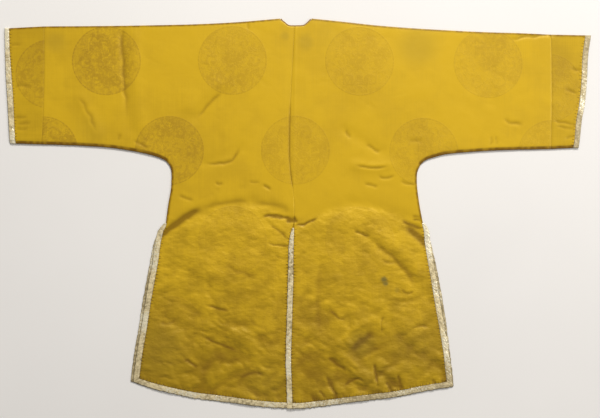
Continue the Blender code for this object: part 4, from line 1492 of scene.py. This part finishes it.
def binding_satin():
    """The darker plain satin of the neck's binding."""
    return material("satin_binding", binding_paint, bpy.context.scene.robe_colours)


def metal_ribbon(dulled=0.0):
    """The ribbon's material, as it is on the back or dulled."""
    scene = bpy.context.scene
    name = "dulled_metal" if dulled else "woven_metal"
    return material(name, ribbon_paint, dulled, scene.robe_sizes, scene.robe_colours)


class ROBE_OT_halves(Operator):
    """Back, front and sleeve of each side in one cloth, with its folds and creases"""

    bl_idname = "robe.halves"
    bl_label = "Halves"

    def execute(self, context):
        sizes = context.scene.robe_sizes
        for side in SIDES:
            piece = make_half(side, sizes, satin(f"{side}_half"))
        return {"FINISHED"}


class ROBE_OT_cuff_bands(Operator):
    """The separate band of damask at the end of each sleeve"""

    bl_idname = "robe.cuff_bands"
    bl_label = "Cuff bands"

    def execute(self, context):
        sizes = context.scene.robe_sizes
        for side in SIDES:
            inner = sleeve_line(BAND_SEAM[side], side, CLOTH_SEAM, UPPER_CELLS)
            outer = sleeve_line(SATIN_END[side], side, 0, UPPER_CELLS)
            name = f"{side}_cuff_band"
            shell = (sizes.shell, satin(f"{side}_band"), "yellow_satin", name, sizes)
            piece = make_tube(f"{name}_silk", side, inner, outer, BAND_CELLS, 0.0, plain, *shell)
        return {"FINISHED"}


# How far each ribbon droops at its outer edge, and how dull the front's are
DROOPS = {
    ("back", "side"): 1.1 * MM, ("back", "hem"): 1.1 * MM, ("back", "vent"): 0.5 * MM,
    ("front", "side"): 0.0, ("front", "hem"): 0.0,
}
DULLED = 0.6


class ROBE_OT_ribbons(Operator):
    """Metal thread ribbon round the cuffs, down the vents and along the hems"""

    bl_idname = "robe.ribbons"
    bl_label = "Ribbons"

    def execute(self, context):
        sizes = context.scene.robe_sizes
        relief = woven_relief(sizes)
        for side in SIDES:
            self.cuff(side, relief, sizes)
            top = back_grid(side)[1]["side_seam"][-1]
            for layer in ("back", "front"):
                *lines, corners = side_lines(layer, side, top)
                self.band(layer, side, "side", lines, relief, sizes)
                self.band(layer, side, "hem", hem_lines(layer, side, corners), relief, sizes)
            self.band("back", side, "vent", vent_lines(side), relief, sizes)
        return {"FINISHED"}

    def cuff(self, side, relief, sizes):
        """The ribbon round one cuff."""
        inner = sleeve_line(SATIN_END[side], side, SEAM, CUFF_RIBBON_CELLS)
        outer = sleeve_line(CUFF_END[side], side, 0, CUFF_RIBBON_CELLS)
        shell = (sizes.ribbon, metal_ribbon(), "metal_ribbon", f"{side}_cuff_trim", sizes)
        name = f"{side}_cuff_ribbon"
        piece = make_tube(name, side, inner, outer, RIBBON_ACROSS, RIBBON_PROUD, relief, *shell)

    def band(self, layer, side, at, lines, relief, sizes):
        """One straight ribbon, on the back or the front."""
        inner, outer = lines
        name = f"{layer}_{side}_{at}"
        if layer == "front":
            tops = np.full(len(inner), RIBBON_TOP)
            look = metal_ribbon(DULLED)
        else:
            tops = back_tops(inner, side, sizes)
            look = metal_ribbon()
        made = (sizes.ribbon, relief, look, "metal_ribbon", f"{name}_trim")
        piece = make_band(f"{name}_ribbon", inner, outer, tops, DROOPS[layer, at], *made)


class ROBE_OT_neck(Operator):
    """Narrow bindings along the neck"""

    bl_idname = "robe.neck"
    bl_label = "Neck bindings"

    def execute(self, context):
        necks = {}
        for side in SIDES:
            grid, _ = back_grid(side)
            necks[side] = grid[NECK_POINT:, 0]
            line = front_neck(side, necks[side][0])
            away = outward(line, TURN[side])
            away[-1] = (0, 1)
            clear_of_rim(line, 0, 1)
            self.bind(f"front_{side}_neck", line, away, np.full(len(line), RIBBON_TOP))
        line = np.concatenate([necks["left"][:-1], necks["right"][::-1]])
        line[NECK_CELLS] = (necks["left"][-1] + necks["right"][-1]) / 2
        away = outward(line, 1)
        clear_of_rim(line, 0, 1)
        clear_of_rim(line, -1, -2)
        tops = back_height(line, "left", context.scene.robe_sizes)[0] + RIBBON_PROUD
        self.bind("back_neck", line, away, tops)
        return {"FINISHED"}

    def bind(self, name, line, away, tops):
        """A binding outside a neck edge, from the edge's own points."""
        inner = line + away * SEAM
        outer = line + away * (SEAM + BINDING_WIDTH)
        made = (BINDING_THICK, plain, binding_satin(), "yellow_satin", f"{name}_binding")
        piece = make_band(f"{name}_tape", inner, outer, tops, BINDING_DROOP, *made)


# Stitches: their shortest and longest in millimetres, how high their thread lies, and how far its ends dive
STITCH_LENGTHS = (4.0, 8.0)
THREAD_LIES = 0.25 * MM
THREAD_DIVES = 0.55 * MM


class ROBE_OT_sewing(Operator):
    """Whip stitches that hold the ribbons"""

    bl_idname = "robe.sewing"
    bl_label = "Sewing"

    def execute(self, context):
        sizes = context.scene.robe_sizes
        thread = material("sewing_thread", thread_paint, context.scene.robe_colours)
        chance = chance_for("stitches")
        for side in SIDES:
            bm = bmesh.new()
            top = back_grid(side)[1]["side_seam"][-1]
            inner, _, corners = side_lines("back", side, top)
            away = AWAY[side]
            rows = [(inner[4:], (-away, 0)), (hem_lines("back", side, corners)[0], (0, 1))]
            rows.append((vent_lines(side)[0], (away, 0)))
            rows.append((sleeve_line(SATIN_END[side], side, SEAM, CUFF_RIBBON_CELLS), (-away, 0)))
            paths = np.concatenate([self.whip(line, onto, sizes, chance) for line, onto in rows])
            tops = back_height(paths.reshape(-1, 2), side, sizes)[0].reshape(paths.shape[:2]) + THREAD_LIES
            tops[:, [0, -1]] -= THREAD_DIVES
            for points, heights in zip(paths, tops):
                self.thread(bm, np.column_stack([points, heights]), sizes.thread / 2)
            piece = add_mesh(f"{side}_stitches", bm, thread)
            piece.data.shade_smooth()
            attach(piece, "root")
        return {"FINISHED"}

    def whip(self, line, onto, sizes, chance):
        """A row of short stitches over an edge, longer on the cloth's side, each as five points."""
        marks = np.arange(0.5 * sizes.stitch_pitch, lengths_along(line)[-1], sizes.stitch_pitch)
        marks = marks + chance.uniform(-0.2, 0.2, len(marks)) * sizes.stitch_pitch
        spots = at_marks(line, marks)
        off = outward(spots, 1)
        off *= np.sign(off @ np.array(onto))[:, None]
        run = np.column_stack([off[:, 1], -off[:, 0]])
        slant = chance.uniform(-0.1, 0.4, (len(marks), 1))
        length = chance.uniform(*STITCH_LENGTHS, (len(marks), 1)) * MM
        shares = np.linspace(-0.25, 1, 5)[None, :, None]
        return spots[:, None] + shares * ((off + run * slant) * length)[:, None]

    def thread(self, bm, points, radius):
        """A short four-sided tube through the points."""
        rings = []
        for point, along in zip(points, np.gradient(points, axis=0)):
            side = np.array([-along[1], along[0], 0])
            side /= np.linalg.norm(side)
            up = np.array([0, 0, 1.0])
            rings.append([bm.verts.new(point + radius * way) for way in (side, up, -side, -up)])
        for here, there in zip(rings, rings[1:]):
            for step in range(4):
                bm.faces.new([here[step], here[step - 1], there[step - 1], there[step]])
        bm.faces.new(rings[0])
        bm.faces.new(rings[-1][::-1])


# The stage: the floor's size and how far it lies below the robe, and each light's place, aim, size and colour
FLOOR_SIZE = 12
FLOOR_BELOW = 0.3 * MM
Lamp = namedtuple("Lamp", "name at towards size colour")
LAMPS = [
    Lamp("key", (1.0, 4.9, 3.5), (0, 0, 0), 1.4, (1.0, 0.975, 0.94)),
    Lamp("top", (0.5, 1.7, 2.8), (0.1, 0.3, 0), 1.2, (1.0, 0.975, 0.94)),
    Lamp("side", (3.4, 0.6, 3.0), (0.3, 0, 0), 1.4, (1.0, 0.98, 0.95)),
]
SKY = (1.0, 0.985, 0.96, 1.0)


class ROBE_OT_stage(Operator):
    """Pale floor, soft light and the camera straight above"""

    bl_idname = "robe.stage"
    bl_label = "Stage"

    def execute(self, context):
        scene = context.scene
        light = scene.robe_light
        bpy.ops.mesh.primitive_plane_add(size=FLOOR_SIZE, location=(0, 0, -FLOOR_BELOW))
        floor = context.object
        floor.name = "floor"
        floor.data.materials.append(material("floor", floor_paint, scene.robe_colours))
        for lamp in LAMPS:
            self.hang(lamp, getattr(light, lamp.name))
        world = bpy.data.worlds.new("soft_room")
        world.use_nodes = True
        sky = world.node_tree.nodes["Background"]
        sky.inputs["Color"].default_value = SKY
        sky.inputs["Strength"].default_value = light.fill
        scene.world = world
        scene.view_settings.view_transform = "Standard"
        data = bpy.data.cameras.new("camera")
        data.lens = light.lens
        camera = bpy.data.objects.new("camera", data)
        scene.collection.objects.link(camera)
        height = PHOTO_WIDTH * PIXEL * light.lens / data.sensor_width
        camera.location = (*place(*PHOTO_MIDDLE), height + LAID)
        scene.camera = camera
        return {"FINISHED"}

    def hang(self, lamp, power):
        """A soft square light that faces a point."""
        data = bpy.data.lights.new(f"{lamp.name}_light", "AREA")
        data.size = lamp.size
        data.energy = power
        data.color = lamp.colour
        light = bpy.data.objects.new(f"{lamp.name}_light", data)
        light.location = lamp.at
        facing = Vector(lamp.towards) - Vector(lamp.at)
        light.rotation_euler = facing.to_track_quat("-Z", "Y").to_euler()
        bpy.context.scene.collection.objects.link(light)


OPERATORS = (
    ROBE_OT_halves, ROBE_OT_cuff_bands, ROBE_OT_ribbons, ROBE_OT_neck, ROBE_OT_sewing, ROBE_OT_stage,
)


class ROBE_PT_panel(Panel):
    """Buttons that make the robe"""

    bl_label = "Silk robe"
    bl_idname = "ROBE_PT_panel"
    bl_space_type = "VIEW_3D"
    bl_region_type = "UI"
    bl_category = "Robe"

    def draw(self, context):
        for operator in OPERATORS:
            self.layout.operator(operator.bl_idname)
        for group in (context.scene.robe_sizes, context.scene.robe_colours, context.scene.robe_light):
            box = self.layout.box()
            for name in group.__annotations__:
                box.prop(group, name)


CLASSES = (RobeSizes, RobeColours, RobeLight, *OPERATORS, ROBE_PT_panel)
GROUPS = {"robe_sizes": RobeSizes, "robe_colours": RobeColours, "robe_light": RobeLight}


def register():
    """Add the operators, the panel and the settings to Blender."""
    for one in CLASSES:
        bpy.utils.register_class(one)
    for name, group in GROUPS.items():
        setattr(bpy.types.Scene, name, PointerProperty(type=group))


def unregister():
    """Take them out again."""
    for name in GROUPS:
        delattr(bpy.types.Scene, name)
    for one in reversed(CLASSES):
        bpy.utils.unregister_class(one)


def main():
    """Make the whole robe and its stage."""
    register()
    bpy.ops.robe.stage()
    bpy.ops.robe.halves()
    bpy.ops.robe.cuff_bands()
    bpy.ops.robe.ribbons()
    bpy.ops.robe.neck()
    bpy.ops.robe.sewing()


if __name__ == "__main__":
    main()
